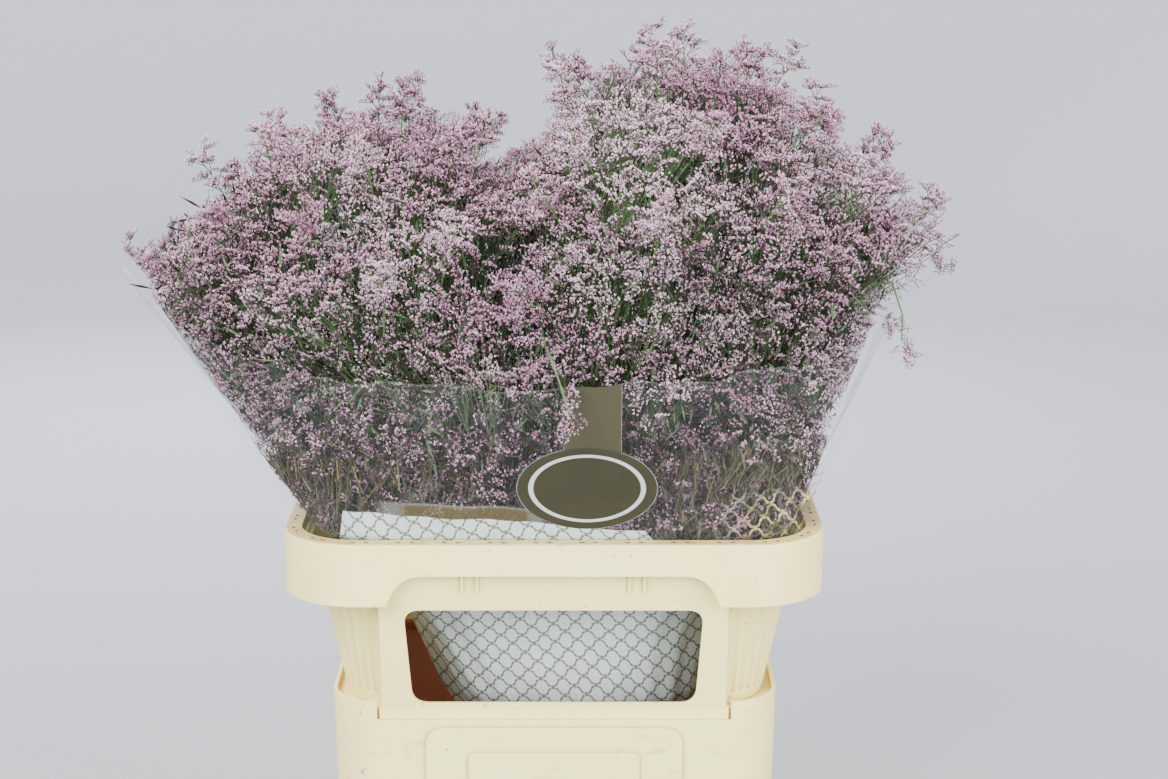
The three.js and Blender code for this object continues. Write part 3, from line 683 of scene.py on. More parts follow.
def add_trails(cloud, rng, homes, own, settings, combs=18):
    """Sprigs that hang over the sleeve's edge: a thin twig along each path, with two tufts at its end."""
    for path, facing in TRAILS:
        path = np.array(path)
        if nearest_stem(path[:1], homes)[0] != own:
            continue
        add_twigs(cloud, path[:-1], path[1:], 0.0009, 0.0006, STEM, np.full(len(path) - 1, 0.5), sides=5)
        facing = unit(np.array(facing))
        tufts = [np.linspace(low, high, combs // 2) for low, high in ((-0.022, -0.008), (0.000, 0.010))]
        foot = path[-1] + np.concatenate(tufts)[:, None] * facing + 0.0025 * rng.normal(size=(combs, 3))
        along = unit(facing + 0.8 * rng.normal(size=(combs, 3)))
        normal = unit(np.array([0, -0.5, 0.3]) + 0.5 * rng.normal(size=(combs, 3)))
        tones = np.clip(0.45 + 0.1 * rng.normal(size=combs), 0, 1)
        length = np.full(combs, 0.7 * settings.comb_length)
        add_combs(cloud, rng, foot, along, normal, length, settings.florets, settings.floret_size, tones)


def plume_sites(rng, homes, settings):
    """Tall sprays that stand above the canopy, with their foot and tip."""
    centre, normal = canopy_sites(rng, settings, 1500)
    kept = spread_out(centre, settings.plume_spacing)
    centre, normal = centre[kept], normal[kept]
    rise = settings.plume_height * rng.uniform(0.35, 1.0, len(centre))
    outward = unit(normal + np.array([0, 0, 0.4]) + 0.25 * rng.normal(size=normal.shape))
    foot = centre - 0.035 * normal
    tip = centre + outward * rise[:, None]
    return {"foot": foot, "tip": tip, "own": nearest_stem(foot, homes), "tone": tone_at(rng, centre)}


def add_plumes(cloud, rng, plumes, settings):
    """A tall spray: an arched branch, with side twigs on alternate sides that each end in a fan of combs.

    The branch is a quadratic curve from foot to tip whose middle point is pushed sideways. Side twig k
    leaves it at share 0.45 + 0.55 k / count and points outwards and up by turns of SUNFLOWER_TURN.
    """
    count, fan = settings.plume_twigs, settings.plume_fan
    foot, tip, tone = (plumes[key] for key in ("foot", "tip", "tone"))
    span = np.linalg.norm(tip - foot, axis=1)[:, None]
    side, up = frame_round(unit(tip - foot))
    pushed = side * rng.normal(size=span.shape) + up * rng.normal(size=span.shape)
    middle = (foot + tip) / 2 + 0.12 * span * pushed

    def on_branch(share):
        """Points at shares of the way from foot to tip."""
        return ((1 - share) ** 2 * foot[:, None] + 2 * share * (1 - share) * middle[:, None]
                + share**2 * tip[:, None])

    curve = on_branch(np.linspace(0, 1, 6)[None, :, None])
    for k in range(5):
        wide = 0.00080 - 0.0001 * k
        add_twigs(cloud, curve[:, k], curve[:, k + 1], wide, wide - 0.0001, STEM, tone)
    share = (0.45 + 0.55 * np.arange(count) / count)[None, :, None]
    start = on_branch(share)
    turn = SUNFLOWER_TURN * np.arange(count)[None] + rng.uniform(0, 6.28, (len(foot), 1))
    turn = turn + 0.3 * rng.normal(size=start.shape[:2])
    ahead = unit(tip - middle)[:, None]
    climb = ahead * rng.uniform(0.7, 1.3, turn.shape)[..., None]
    twig = unit(0.8 * swing(side[:, None], up[:, None], turn) + climb)
    long = settings.twig_length * rng.uniform(0.5, 1.2, turn.shape) * (1.15 - 0.6 * share[..., 0])
    root = start + twig * long[..., None]
    tones = np.clip(tone[:, None] + 0.08 * rng.normal(size=turn.shape), 0, 1)
    add_twigs(cloud, start.reshape(-1, 3), root.reshape(-1, 3), 0.00045, 0.00034, STEM, tones.ravel())
    fans = np.repeat(root[:, :, None], fan, axis=2)
    along = unit(0.7 * twig[:, :, None] + 0.55 * rng.normal(size=fans.shape))
    scatter = 0.25 * rng.normal(size=fans.shape)
    normal = unit(ahead[:, :, None] + np.array([0, 0, 0.7]) + scatter)
    reach = 0.75 * settings.comb_length * rng.uniform(0.7, 1.2, fans.shape[:3])
    fans, along, normal = (vectors.reshape(-1, 3) for vectors in (fans, along, normal))
    add_combs(cloud, rng, fans, along, normal, reach.ravel(), settings.florets, settings.floret_size,
              np.repeat(tones, fan))


# Grids and lofts

def grid_faces(rows, columns, closed=False):
    """Four-sided faces of a grid numbered row by row. Its columns come round, and so do closed rows."""
    count = rows if closed else rows - 1
    i, r = np.meshgrid(np.arange(columns), np.arange(count))
    j = (i + 1) % columns
    low, high = r * columns, ((r + 1) % rows) * columns
    return np.stack([low + i, low + j, high + j, high + i], axis=-1).reshape(-1, 4)


def shell_piece(name, rings, materials, capped=False):
    """A loft through rings of equal length: closed on itself, or with a flat face over each end."""
    rings = np.array(rings)
    count = rings.shape[1]
    groups = [(grid_faces(len(rings), count, closed=not capped), 0)]
    if capped:
        last = (len(rings) - 1) * count
        groups.append((np.array([np.arange(count)[::-1], last + np.arange(count)]), 0))
    return make_piece(name, rings.reshape(-1, 3), groups, materials)


def cut_away(piece, cutters):
    """Takes the cutters' shapes out of the piece and removes the cutters."""
    for cutter in cutters:
        step = piece.modifiers.new("Cut", "BOOLEAN")
        step.operation, step.solver, step.object = "DIFFERENCE", "EXACT", cutter
    settle(piece)
    for cutter in cutters:
        bpy.data.objects.remove(cutter)


def settle(piece):
    """Replaces the piece's mesh by what its modifiers make of it."""
    graph = bpy.context.evaluated_depsgraph_get()
    made = bpy.data.meshes.new_from_object(piece.evaluated_get(graph))
    piece.modifiers.clear()
    piece.data = made


def soften(piece, width, segments=2):
    """Rounds the piece's edges a little and shades it smooth between the edges that stay sharp."""
    piece.data.shade_smooth()
    piece.data.set_sharp_from_angle(angle=math.radians(32))
    bevel = piece.modifiers.new("Rounded edges", "BEVEL")
    bevel.width, bevel.segments, bevel.limit_method = width, segments, "ANGLE"
    bevel.angle_limit = math.radians(32)
    bevel.harden_normals = True


def join_shells(name, pieces, materials):
    """One object from several closed shells that may reach into each other."""
    gathered = bmesh.new()
    for piece in pieces:
        gathered.from_mesh(piece.data)
        bpy.data.objects.remove(piece)
    mesh = bpy.data.meshes.new(name)
    gathered.to_mesh(mesh)
    gathered.free()
    for material in materials:
        mesh.materials.append(material)
    joined = bpy.data.objects.new(name, mesh)
    bpy.context.scene.collection.objects.link(joined)
    return joined


# Container

BUCKET_FOOT, BUCKET_TOP, BUCKET_CORNER, BUCKET_HEIGHT = 0.162, 0.168, 0.040, 0.264
LEDGE, LEDGE_HALF, FLOOR = 0.258, 0.152, 0.004
BUCKET_LEAN = (BUCKET_TOP - BUCKET_FOOT) / BUCKET_HEIGHT
COLLAR_LOW, COLLAR_FOOT, COLLAR_FLARE, COLLAR_CORNER = 0.2583, 0.158, 0.196, 0.046
FLANGE, SKIRT, RIM_BEVEL = 0.389, 0.348, 0.0015
PANEL_HALF, PANEL_PROUD, PANEL_PROUD_TOP, PANEL_FOOT = 0.130, 0.010, 0.012, 0.2505
FLUTE_DEPTH, FLUTES, FLUTE_LOW, FLUTE_HIGH = 0.0022, 7, 0.268, 0.336
CORNER_STEPS = 56
HOLE_LONG, HOLE_WIDE = 0.0021, 0.0012
SMUDGE_X, SMUDGE_Z = -0.142, 0.207


def four_quarters(quarter, z):
    """A closed ring at height z from the points of its first quarter, mirrored in X and in Y."""
    back = quarter[::-1]
    flat = np.concatenate([quarter, back * (-1, 1), quarter * (-1, -1), back * (1, -1)])
    return np.column_stack([flat, np.full(len(flat), z)])


def round_ring(half, corner, z):
    """A rounded rectangle at one level: corner arcs of equal steps joined by straight sides."""
    turn = np.linspace(0, np.pi / 2, 13)
    x = half - corner + corner * np.cos(turn)
    y = half - DEPTH_LESS - corner + corner * np.sin(turn)
    return four_quarters(np.column_stack([x, y]), z)


def collar_ring(half, corner, z, proud=0.0, flute=0.0):
    """One level of the collar.

    At share t of a corner its radius is less by flute * (1 - cos(2 pi FLUTES t)) / 2. With proud set,
    a flat panel stands out that far at the front and the back.
    """
    cx, cy = half - corner, half - DEPTH_LESS - corner
    most = math.acos(min(1, (PANEL_HALF - cx) / corner)) if proud else math.pi / 2
    share = np.linspace(0, 1, CORNER_STEPS + 1)
    radius = corner - flute * (1 - np.cos(2 * np.pi * FLUTES * share)) / 2
    arc = np.column_stack([cx + radius * np.cos(most * share), cy + radius * np.sin(most * share)])
    end = [PANEL_HALF - 0.002 if proud else cx - 0.006, half - DEPTH_LESS + proud]
    return four_quarters(np.vstack([arc, end]), z)


def plate(name, low_half, high_half, low, high, corner, near, far, lean=0.0):
    """An upright plate from y = near to y = far: a four-sided outline whose corners are quadratic curves.

    With lean set, the plate is pushed out by lean times its height.
    """
    corners = np.array([(-low_half, low), (low_half, low), (high_half, high), (-high_half, high)])
    t = np.linspace(0, 1, 9)[:, None]
    outline = []
    for k, here in enumerate(corners):
        start = here + corner * unit(corners[k - 1] - here)
        end = here + corner * unit(corners[(k + 1) % 4] - here)
        outline.append((1 - t) ** 2 * start + 2 * t * (1 - t) * here + t**2 * end)
    x, z = np.concatenate(outline).T
    rings = [np.column_stack([x, y - lean * z, z]) for y in (near, far)]
    return shell_piece(name, rings, [], capped=True)


def turned(piece):
    """A copy of the piece, turned half round the upright axis."""
    copy = piece.copy()
    copy.data = piece.data.copy()
    copy.data.transform(Matrix.Rotation(math.pi, 4, "Z"))
    bpy.context.scene.collection.objects.link(copy)
    return copy


def build_bucket(material, edge):
    """The bucket: a tapered shell with a ledge under its lip and a shallow grip panel front and back."""
    shell = shell_piece("bucket_shell", [
        round_ring(BUCKET_FOOT - 0.003, BUCKET_CORNER - 0.003, 0.0),
        round_ring(BUCKET_FOOT, BUCKET_CORNER, 0.004),
        round_ring(BUCKET_TOP, BUCKET_CORNER, BUCKET_HEIGHT),
        round_ring(BUCKET_TOP - WALL, BUCKET_CORNER - WALL, BUCKET_HEIGHT),
        round_ring(BUCKET_TOP - WALL, BUCKET_CORNER - WALL, LEDGE),
        round_ring(LEDGE_HALF, BUCKET_CORNER - 0.014, LEDGE),
        round_ring(LEDGE_HALF, BUCKET_CORNER - 0.014, LEDGE - WALL),
        round_ring(BUCKET_TOP - WALL - 0.0005, BUCKET_CORNER - WALL, LEDGE - 0.014),
        round_ring(BUCKET_FOOT - WALL, BUCKET_CORNER - WALL, FLOOR),
    ], [], capped=True)
    notch = plate("notch", PANEL_HALF + 0.002, PANEL_HALF + 0.002, PANEL_FOOT - 0.0003, 0.269, 0.001,
                  -0.114, -0.123)
    cut_away(shell, [notch, turned(notch)])
    face = -(BUCKET_FOOT - DEPTH_LESS)
    panel = plate("panel", 0.096, 0.096, 0.060, 0.244, 0.014, face + 0.002, face - 0.0024, BUCKET_LEAN)
    grip = plate("grip", 0.064, 0.064, 0.150, 0.225, 0.005, face + 0.002, face - 0.0046, BUCKET_LEAN)
    bucket = join_shells("bucket_body", [shell, panel, turned(panel), grip, turned(grip)], [material])
    soften(bucket, edge)
    return bucket


def build_collar(material, edge):
    """The collar: a flared wall with fluted corners, flat panels at front and back, and a deep rim."""

    def wall(z, fluted):
        """The collar's outer side at height z, with its corners fluted or plain."""
        half = COLLAR_FOOT + COLLAR_FLARE * (z - COLLAR_LOW)
        share = (z - COLLAR_LOW) / (FLANGE - COLLAR_LOW)
        proud = PANEL_PROUD + (PANEL_PROUD_TOP - PANEL_PROUD) * share
        return collar_ring(half, COLLAR_CORNER, z, proud, FLUTE_DEPTH if fluted else 0.0)

    top_half = COLLAR_FOOT + COLLAR_FLARE * (FLANGE - COLLAR_LOW)
    shell = shell_piece("collar_shell", [
        wall(COLLAR_LOW, False),
        wall(FLUTE_LOW - 0.001, False),
        wall(FLUTE_LOW, True),
        wall(FLUTE_HIGH, True),
        wall(FLUTE_HIGH + 0.001, False),
        wall(FLANGE, False),
        collar_ring(RIM_HALF - WALL, RIM_CORNER - WALL, FLANGE),
        collar_ring(RIM_HALF - WALL, RIM_CORNER - WALL, SKIRT),
        collar_ring(RIM_HALF, RIM_CORNER, SKIRT),
        collar_ring(RIM_HALF, RIM_CORNER, RIM_TOP - RIM_BEVEL),
        collar_ring(RIM_HALF - RIM_BEVEL, RIM_CORNER - RIM_BEVEL, RIM_TOP),
        collar_ring(RIM_HALF - RIM_WIDTH, RIM_CORNER - RIM_WIDTH, RIM_TOP),
        collar_ring(RIM_HALF - RIM_WIDTH, RIM_CORNER - RIM_WIDTH, FLANGE + 0.001),
        collar_ring(top_half - WALL, COLLAR_CORNER - WALL, FLANGE - 0.004, PANEL_PROUD_TOP),
        collar_ring(COLLAR_FOOT - WALL, COLLAR_CORNER - WALL, COLLAR_LOW, PANEL_PROUD),
    ], [])
    arch = plate("arch", 0.131, 0.111, SKIRT - 0.020, 0.371, 0.016, -0.1465, -0.1565)
    window = plate("window", 0.105, 0.110, 0.264, 0.341, 0.012, -0.098, -0.158)
    cut_away(shell, [arch, turned(arch), window, turned(window)])
    face = -(COLLAR_FOOT - DEPTH_LESS + PANEL_PROUD)
    lean = COLLAR_FLARE + (PANEL_PROUD_TOP - PANEL_PROUD) / (FLANGE - COLLAR_LOW)
    ribs = []
    for place in (-0.061, 0.061):
        for edge_place in (-0.0055, 0.0055):
            near = face + 0.001 + lean * COLLAR_LOW
            rib = plate("rib", 0.0012, 0.0012, 0.356, 0.3715, 0.0004, near, near - 0.0028, lean)
            rib.data.transform(Matrix.Translation((place + edge_place, 0, 0)))
            ribs += [rib, turned(rib)]
    apron = plate("apron", PANEL_HALF, PANEL_HALF, PANEL_FOOT, COLLAR_LOW + 0.003, 0.001,
                  face + WALL - 0.0003, face)
    collar = join_shells("collar_body", [shell, *ribs, apron, turned(apron)], [material])
    soften(collar, edge)
    return collar


def build_rim_holes(material, settings):
    """Pairs of small drain holes along the rim's top: dark ovals of 10 corners that lie just over it,
    painted shade in place of the holes.
    """
    path = collar_ring(RIM_HALF - RIM_WIDTH / 2, RIM_CORNER - RIM_WIDTH / 2, RIM_TOP + 0.00015)
    path = np.vstack([path, path[:1]])
    walked = np.concatenate([[0], np.cumsum(np.linalg.norm(np.diff(path, axis=0), axis=1))])
    pairs = round(walked[-1] / settings.hole_pitch)
    middle = (np.arange(pairs) + 0.5) * walked[-1] / pairs
    place = np.concatenate([middle - settings.hole_gap / 2, middle + settings.hole_gap / 2])

    def on_path(places):
        """Points that far along the rim."""
        return np.column_stack([np.interp(places, walked, path[:, k]) for k in range(3)])

    centre = on_path(place)
    along = unit(on_path((place + 0.001) % walked[-1]) - centre)
    across = np.cross([0, 0, 1], along)
    turn = 2 * np.pi * np.arange(10) / 10
    oval = swing(HOLE_LONG * along[:, None], HOLE_WIDE * across[:, None], turn)
    faces = np.arange(len(place) * 10).reshape(-1, 10)
    return make_piece("rim_holes", (centre[:, None] + oval).reshape(-1, 3), [(faces, 0)], [material])


# Materials of the container

def scuffs_and_dirt(shader, colour):
    """Scuffs and specks on the bucket, a violet smudge on its front, and dirt on top of the rim."""
    x, y, z = shader.place()
    patches = shader.noise(0.035, 6.0, (1, 1, 0.7), 0.2).band(0.54, 0.66)
    grain = shader.noise(0.004, 4.0, (2.5, 2.5, 1), 0.6).band(0.48, 0.62)
    scuff = patches * grain * (z.band(0.245, 0.225) * 0.38 + 0.04)
    specks = shader.noise(0.0045, 1.0, offset=0.9).band(0.745, 0.775) * 0.55
    away = ((x - SMUDGE_X) ** 2 + (z - SMUDGE_Z) ** 2) ** 0.5
    smudge = away.band(0.0040, 0.0028) * grain * y.band(0.001, -0.001)
    top = z.band(RIM_TOP - 0.0012, RIM_TOP - 0.0004)
    dirt = top * (shader.noise(0.012, 4.0, offset=0.4) * 0.9 + 0.10)
    for mask, paint in ((scuff, "#9C9260"), (specks, "#7A6A48"), (smudge, "#5A46A8"), (dirt, "#A98B5C")):
        colour = shader.mix(mask, colour, paint)
    return colour


def inside_red_brown(shader, colour):
    """Red-brown on the bucket's floor and inner faces, which are those that look to the middle, paler lower
    down.
    """
    x, y, z = shader.place()
    facing_x, facing_y, facing_z = shader.facing()
    inner = (facing_x * x + facing_y * y).band(-0.01, -0.03) * z.band(0.262, 0.256)
    floor = facing_z.band(0.5, 0.8) * z.band(0.030, 0.020)
    red_brown = shader.mix(z.band(0.250, 0.100), "#D2957A", "#EDAB88")
    return shader.mix(inner.most(floor), colour, red_brown)


def plastic_material(settings):
    """Moulded ivory polypropylene: warm cream, slightly uneven, with painted shade in its crevices and
    towards the ends.
    """
    shader = Shader("moulded_ivory_polypropylene")
    uneven = shader.noise(0.16, 3.0)
    colour = shader.mix(uneven.band(0.35, 0.70), settings.plastic_light, settings.plastic_warm)
    # Painted shade: the plastic turns to a darker, warmer ivory towards both ends.
    ends = abs(shader.place()[0]).band(0.120, 0.195)
    colour = shader.mix(ends * 0.45, colour, settings.plastic_side_shade)
    # Painted shade: local ambient occlusion darkens the crevices and recesses towards brown.
    near = shader.add("ShaderNodeAmbientOcclusion", {"Distance": 0.006}, samples=4, only_local=True)
    painted_crevice_shade = Value(shader, near.outputs["AO"]).band(0.92, 0.50)
    colour = shader.mix(painted_crevice_shade * 0.70, colour, "#A88A56")
    colour = inside_red_brown(shader, scuffs_and_dirt(shader, colour))
    fine = shader.bump(shader.noise(0.0012, 2.0), 0.10, 0.0003)
    return shader.finish(Base_Color=colour, Roughness=uneven * 0.18 + 0.36, IOR=1.49, Normal=fine)


def hole_shade_material():
    """The drain holes' painted shade, with rust-brown dirt: dark brown and matt."""
    shader = Shader("shade_and_dirt_in_drain_holes")
    # Painted shade of the holes, brown with dirt.
    colour = shader.mix(shader.noise(0.010, 2.0), "#3A2416", "#7A4A2C")
    return shader.finish(Base_Color=colour, Roughness=0.9)


# Sleeve

SEAM_WIDTH, FILM_ROWS, FILM_COLUMNS = 0.006, 96, 240
BADGE_X, BADGE_Z, BADGE_HALF_WIDTH, BADGE_HALF_HEIGHT, BADGE_RING = 0.0245, 0.437, 0.0505, 0.033, 0.80
STRIP_X, STRIP_HALF = 0.0285, 0.0206


def nearest_whole(value):
    """Distance of a value from the nearest whole number."""
    return 0.5 - abs(value.math("FRACT") - 0.5)


def lattice(across, rise, pitch):
    """Rows of wavy lines, v = n + 0.20 w and v = n + 1/2 - 0.20 w, that near each other by turns.

    The wave w has the sign of cos(2 pi u) and the size of its power 0.6, so that its ends are round.
    Each line is broken on both sides of the place where it is nearest to its neighbour.
    """
    u, v = across / pitch, rise / pitch
    cosine = (u * (2 * math.pi)).math("COSINE")
    size = abs(cosine) ** 0.6
    swinging = cosine.math("SIGN") * size * 0.20
    first = nearest_whole(v - swinging)
    second = nearest_whole(v - 0.5 + swinging)
    line = (first.math("MINIMUM", second) / (size * -1.3 + 2.3)).band(0.056, 0.046)
    return line * abs(size - 0.86).band(0.020, 0.035)


def print_masks(shader, settings, across, rise, flat):
    """Where the pale ground, its lines, the gold lattice and the folded flap lie on the film."""
    x, y, z = shader.place()
    front = y.band(0.010, -0.010)
    lines = lattice(across, rise, settings.motif)
    waves = shader.noise(0.060, 1.0, vector=flat) * 0.010 - 0.005
    right = x.band(0.066, 0.090) * -0.030
    left = x.band(-0.152, -0.158) * -0.040
    over = z - (x * -0.070 + settings.print_top + waves + right + left)
    ground = over.band(0.0004, -0.0004)
    gold = x.band(0.118, 0.140) * z.band(0.434, 0.424) * front * lines * (1 - ground)
    flap = over.band(0.012, 0.009) * x.band(-0.130, -0.105) * x.band(-0.004, -0.020) * front
    return ground, lines, gold, flap


def badge_masks(shader):
    """A plain oval badge, the ring near its edge and the strip above it."""
    x, y, z = shader.place()
    front = y.band(0.010, -0.010)
    reach = (((x - BADGE_X) / BADGE_HALF_WIDTH) ** 2 + ((z - BADGE_Z) / BADGE_HALF_HEIGHT) ** 2) ** 0.5
    oval = reach.band(1.008, 0.992) * front
    ring = abs(reach - BADGE_RING).band(0.040, 0.028)
    strip = abs(x - STRIP_X).band(STRIP_HALF, STRIP_HALF - 0.0004) * z.band(0.440, 0.445) * front
    return oval, ring, strip


def film_haze_and_glints(shader, settings, flat):
    """How pale the clear film is: a faint milky veil, with painted glints along streaks, creases, seams and
    the hem, and painted reflection where its front half faces sideways or lies low near the rim.
    """
    _, y, z = shader.place()
    streak_glints = shader.noise(0.006, 3.0, (1, 16, 1), vector=flat).band(0.58, 0.76)
    soft = shader.noise(0.070, 2.0, vector=flat, offset=0.7)
    fine = shader.noise(0.028, 2.0, (1, 2.2, 1), vector=flat, offset=0.2)
    creases = abs(soft - 0.5).band(0.010, 0.003).most(abs(fine - 0.5).band(0.012, 0.004))
    # Painted reflection: the film is made whiter where it faces sideways and low down, in its front half;
    # the painted glints below are scaled by it.
    sides = abs(shader.facing()[1]).band(0.62, 0.25)
    near = sides.most(z.band(0.450, 0.400) * 0.4)
    near = (near * 0.62 + 0.08) * y.band(0.100, 0.030)
    hem_glint = shader.attribute("share").band(0.9925, 0.9965) * near.most(0.10)
    seam = abs(y).band(0.0025, 0.0010)
    veil = streak_glints * near * 0.30 + settings.veil
    return veil + soft * near * 0.10 + creases * near * 0.14 + seam.most(hem_glint) * 0.34


def film_material(settings):
    """Clear polypropylene film with a lattice on a pale ground low down and a plain olive badge in front.

    The film is glossy. Its print is matt and pricked all over with tiny holes.
    """
    shader = Shader("printed_clear_polypropylene_film")
    u, v, _ = shader.xyz(shader.coordinates.outputs["UV"])
    across, rise = (u - 0.5) * settings.uv_span, v * settings.uv_span
    flat = shader.add("ShaderNodeCombineXYZ", {0: across, 1: rise}).outputs[0]
    ground, lines, gold, flap = print_masks(shader, settings, across, rise, flat)
    oval, ring, strip = badge_masks(shader)
    paper = shader.mix(shader.noise(0.030, 2.0, vector=flat), "#ABB6B9", "#CDD6D8")
    printed = shader.mix(lines * 0.92, paper, "#58634A")
    # Painted glints: noise lifts the olive gold print to bright pale gold in spots.
    gilt_with_glints = shader.mix(shader.noise(0.012, 2.0).band(0.44, 0.60), "#5A5A2C", "#E0D48C")
    badge = shader.mix(shader.noise(0.020, 2.0, vector=flat), settings.badge, "#2C2A10")
    badge = shader.mix(ring, badge, "#B9BCB4")

    # A near-white film whose opacity carries the milky veil and the painted glints and reflection.
    colour, alpha = "#E8ECEC", film_haze_and_glints(shader, settings, flat)
    layers = ((flap, 0.45, "#6E6444"), (ground, 0.965, printed), (gold, 0.55, gilt_with_glints),
              (strip, 0.95, settings.badge_strip), (oval, 0.98, badge))
    for mask, strength, paint in layers:
        colour = shader.mix(mask, colour, paint)
        alpha = alpha.most(mask * strength)

    solid = ground.most(oval).most(strip)
    apart = [nearest_whole(place / settings.hole_spacing) for place in (across, rise)]
    holes = ((apart[0] ** 2 + apart[1] ** 2) ** 0.5).band(0.085, 0.060)
    colour = shader.mix(holes * solid * 0.75, colour, "#2E2D24")
    wrinkle = shader.bump(shader.noise(0.012, 3.0, (1, 2.5, 1), vector=flat), 0.35, 0.0012)
    return shader.finish(Base_Color=colour, Roughness=solid * 0.45 + 0.10, Alpha=alpha, IOR=1.49,
                         Normal=wrinkle)


def film_creases(turn, z):
    """How far the film is drawn in: soft pleats, deepest just above the rim, that fade to the mouth."""
    pleats = 0.5 + 0.5 * np.sin(9 * turn + 3 * np.sin(2 * turn) + 14 * z)
    fine = 0.5 + 0.5 * np.sin(23 * turn + 1.5 * np.sin(5 * turn + 20 * z))
    above = smooth_step(z, RIM_TOP, 0.430) * (1 - 0.6 * smooth_step(z, 0.45, 0.62))
    below = 0.6 * smooth_step(0.380 - z, 0.0, 0.05)
    return (0.0045 * pleats + 0.0022 * fine) * (above + below)


def build_sleeve(settings):
    """The film as rings of points on the rounded cone, drawn in by its creases.

    Each side seam stands out as a fin: points within 0.004 rad of it are pushed out by SEAM_WIDTH.
    """
    even = np.linspace(0, 2 * np.pi, FILM_COLUMNS, endpoint=False)
    turn = np.sort(np.concatenate([even, [0.004, np.pi - 0.004, np.pi + 0.004, 2 * np.pi - 0.004]]))
    share = np.linspace(0, 1, FILM_ROWS)[:, None]
    top = mouth_height(turn) + 0.0025 * np.sin(17 * turn) + 0.0015 * np.sin(41 * turn + 1)
    z = SLEEVE_FOOT + (top - SLEEVE_FOOT) * share
    seam = (np.abs(np.sin(turn)) < 0.002).astype(float)
    inset = 0.0002 + film_creases(turn[None], z) * (1 - seam)
    rise_out = SEAM_WIDTH * seam * smooth_step(z, 0.400, 0.430)
    points = sleeve_point(turn[None], z, inset - rise_out)
    columns = len(turn)
    ring = np.linalg.norm(np.diff(points, axis=1, append=points[:, :1]), axis=2)
    along = np.concatenate([np.zeros((FILM_ROWS, 1)), np.cumsum(ring, axis=1)], axis=1)
    front = np.argmin(np.abs(turn - 1.5 * np.pi))
    along -= along[:, front:front + 1]
    step = np.linalg.norm(np.diff(points, axis=0), axis=2)
    rise = np.concatenate([np.zeros((1, columns)), np.cumsum(step, axis=0)])
    rise = np.concatenate([rise, rise[:, :1]], axis=1)
    grid = np.stack([along / settings.uv_span + 0.5, rise / settings.uv_span], axis=-1)
    uv = np.stack([grid[:-1, :-1], grid[:-1, 1:], grid[1:, 1:], grid[1:, :-1]], axis=2)
    attributes = {"share": np.broadcast_to(share, z.shape).ravel()}
    return make_piece("film_sleeve", points.reshape(-1, 3), [(grid_faces(FILM_ROWS, columns), 0)],
                      [film_material(settings)], smooth=True, uv=uv.reshape(-1, 2), attributes=attributes)


# Stage

# Each lamp's name, place, the point that it looks at, size, and power as a share of the key light's.
LAMPS = (
    ("key", (-1.3, -2.3, 2.2), (0, 0, 0.45), 2.0, 1.0),
    ("fill", (2.0, -1.9, 1.1), (0, 0, 0.40), 1.8, 0.55),
    ("top", (0.1, 0.3, 3.0), (0, 0, 0.60), 2.4, 0.65),
    ("back", (-0.6, 2.2, 1.9), (0, 0, 0.50), 1.8, 0.45),
)
CAMERA_PLACE, CAMERA_TILT, CAMERA_LENS = (0.0223, -1.8278, 0.8817), math.radians(77.5), 74.62


def build_studio(settings):
    """A round studio: a pale floor that curves up into a wall all round, with painted shade that darkens
    the floor near the bunch and fades out towards the wall.

    The profile is a flat floor, a quarter circle and an upright wall, turned about the Z axis.
    """
    bend, radius, height, steps = 0.9, settings.floor_radius, 4.5, 96
    turn = np.linspace(-np.pi / 2, 0, 17)
    reach = np.concatenate([[0.02, 0.5 * radius], radius + bend * np.cos(turn), [radius + bend]])
    level = np.concatenate([[0, 0], bend + bend * np.sin(turn), [height]])
    around = np.linspace(0, 2 * np.pi, steps, endpoint=False)
    points = np.stack([reach[:, None] * np.cos(around), reach[:, None] * np.sin(around),
                       np.broadcast_to(level[:, None], (len(level), steps))], axis=-1)
    cap = np.arange(steps)[None]
    faces = grid_faces(len(level), steps)[:, ::-1]
    shader = Shader("matt_painted_studio_wall")
    x, y, _ = shader.place()
    # Painted shade: the darker floor colour within 0.8 m of the middle, blending into the wall colour
    # further out.
    away = ((x**2 + y**2) ** 0.5).band(0.8, radius + bend)
    paint = shader.mix(away, settings.floor, settings.wall)
    wall = shader.finish(Base_Color=paint, Roughness=0.9, Specular_IOR_Level=0.1)
    studio = make_piece("studio", points.reshape(-1, 3), [(faces, 0), (cap, 0)], [wall], smooth=True)


def build_lights(settings):
    """Soft area lamps and daylight from all round."""
    for name, place, target, size, share in LAMPS:
        data = bpy.data.lights.new(name, "AREA")
        data.energy, data.size = share * settings.key_power, size
        lamp = bpy.data.objects.new(name, data)
        lamp.location = place
        lamp.rotation_euler = (Vector(target) - Vector(place)).to_track_quat("-Z", "Y").to_euler()
        bpy.context.scene.collection.objects.link(lamp)
    world = bpy.data.worlds.new("soft_daylight")
    world.use_nodes = True
    sky = world.node_tree.nodes["Background"].inputs
    sky["Color"].default_value = srgb("#E8ECF2")
    sky["Strength"].default_value = settings.daylight
    bpy.context.scene.world = world


def build_camera():
    """The camera, where the photograph was taken from."""
    data = bpy.data.cameras.new("camera")
    data.lens, data.sensor_width = CAMERA_LENS, 36
    camera = bpy.data.objects.new("camera", data)
    camera.location = CAMERA_PLACE
    camera.rotation_euler = (CAMERA_TILT, 0, 0)
    bpy.context.scene.collection.objects.link(camera)
    bpy.context.scene.camera = camera


# Settings

def metres(name, description, default, low, high):
    """A length in metres that a user may change."""
    return FloatProperty(name=name, description=description, default=default, min=low, max=high,
                         precision=4, subtype="DISTANCE", unit="LENGTH")


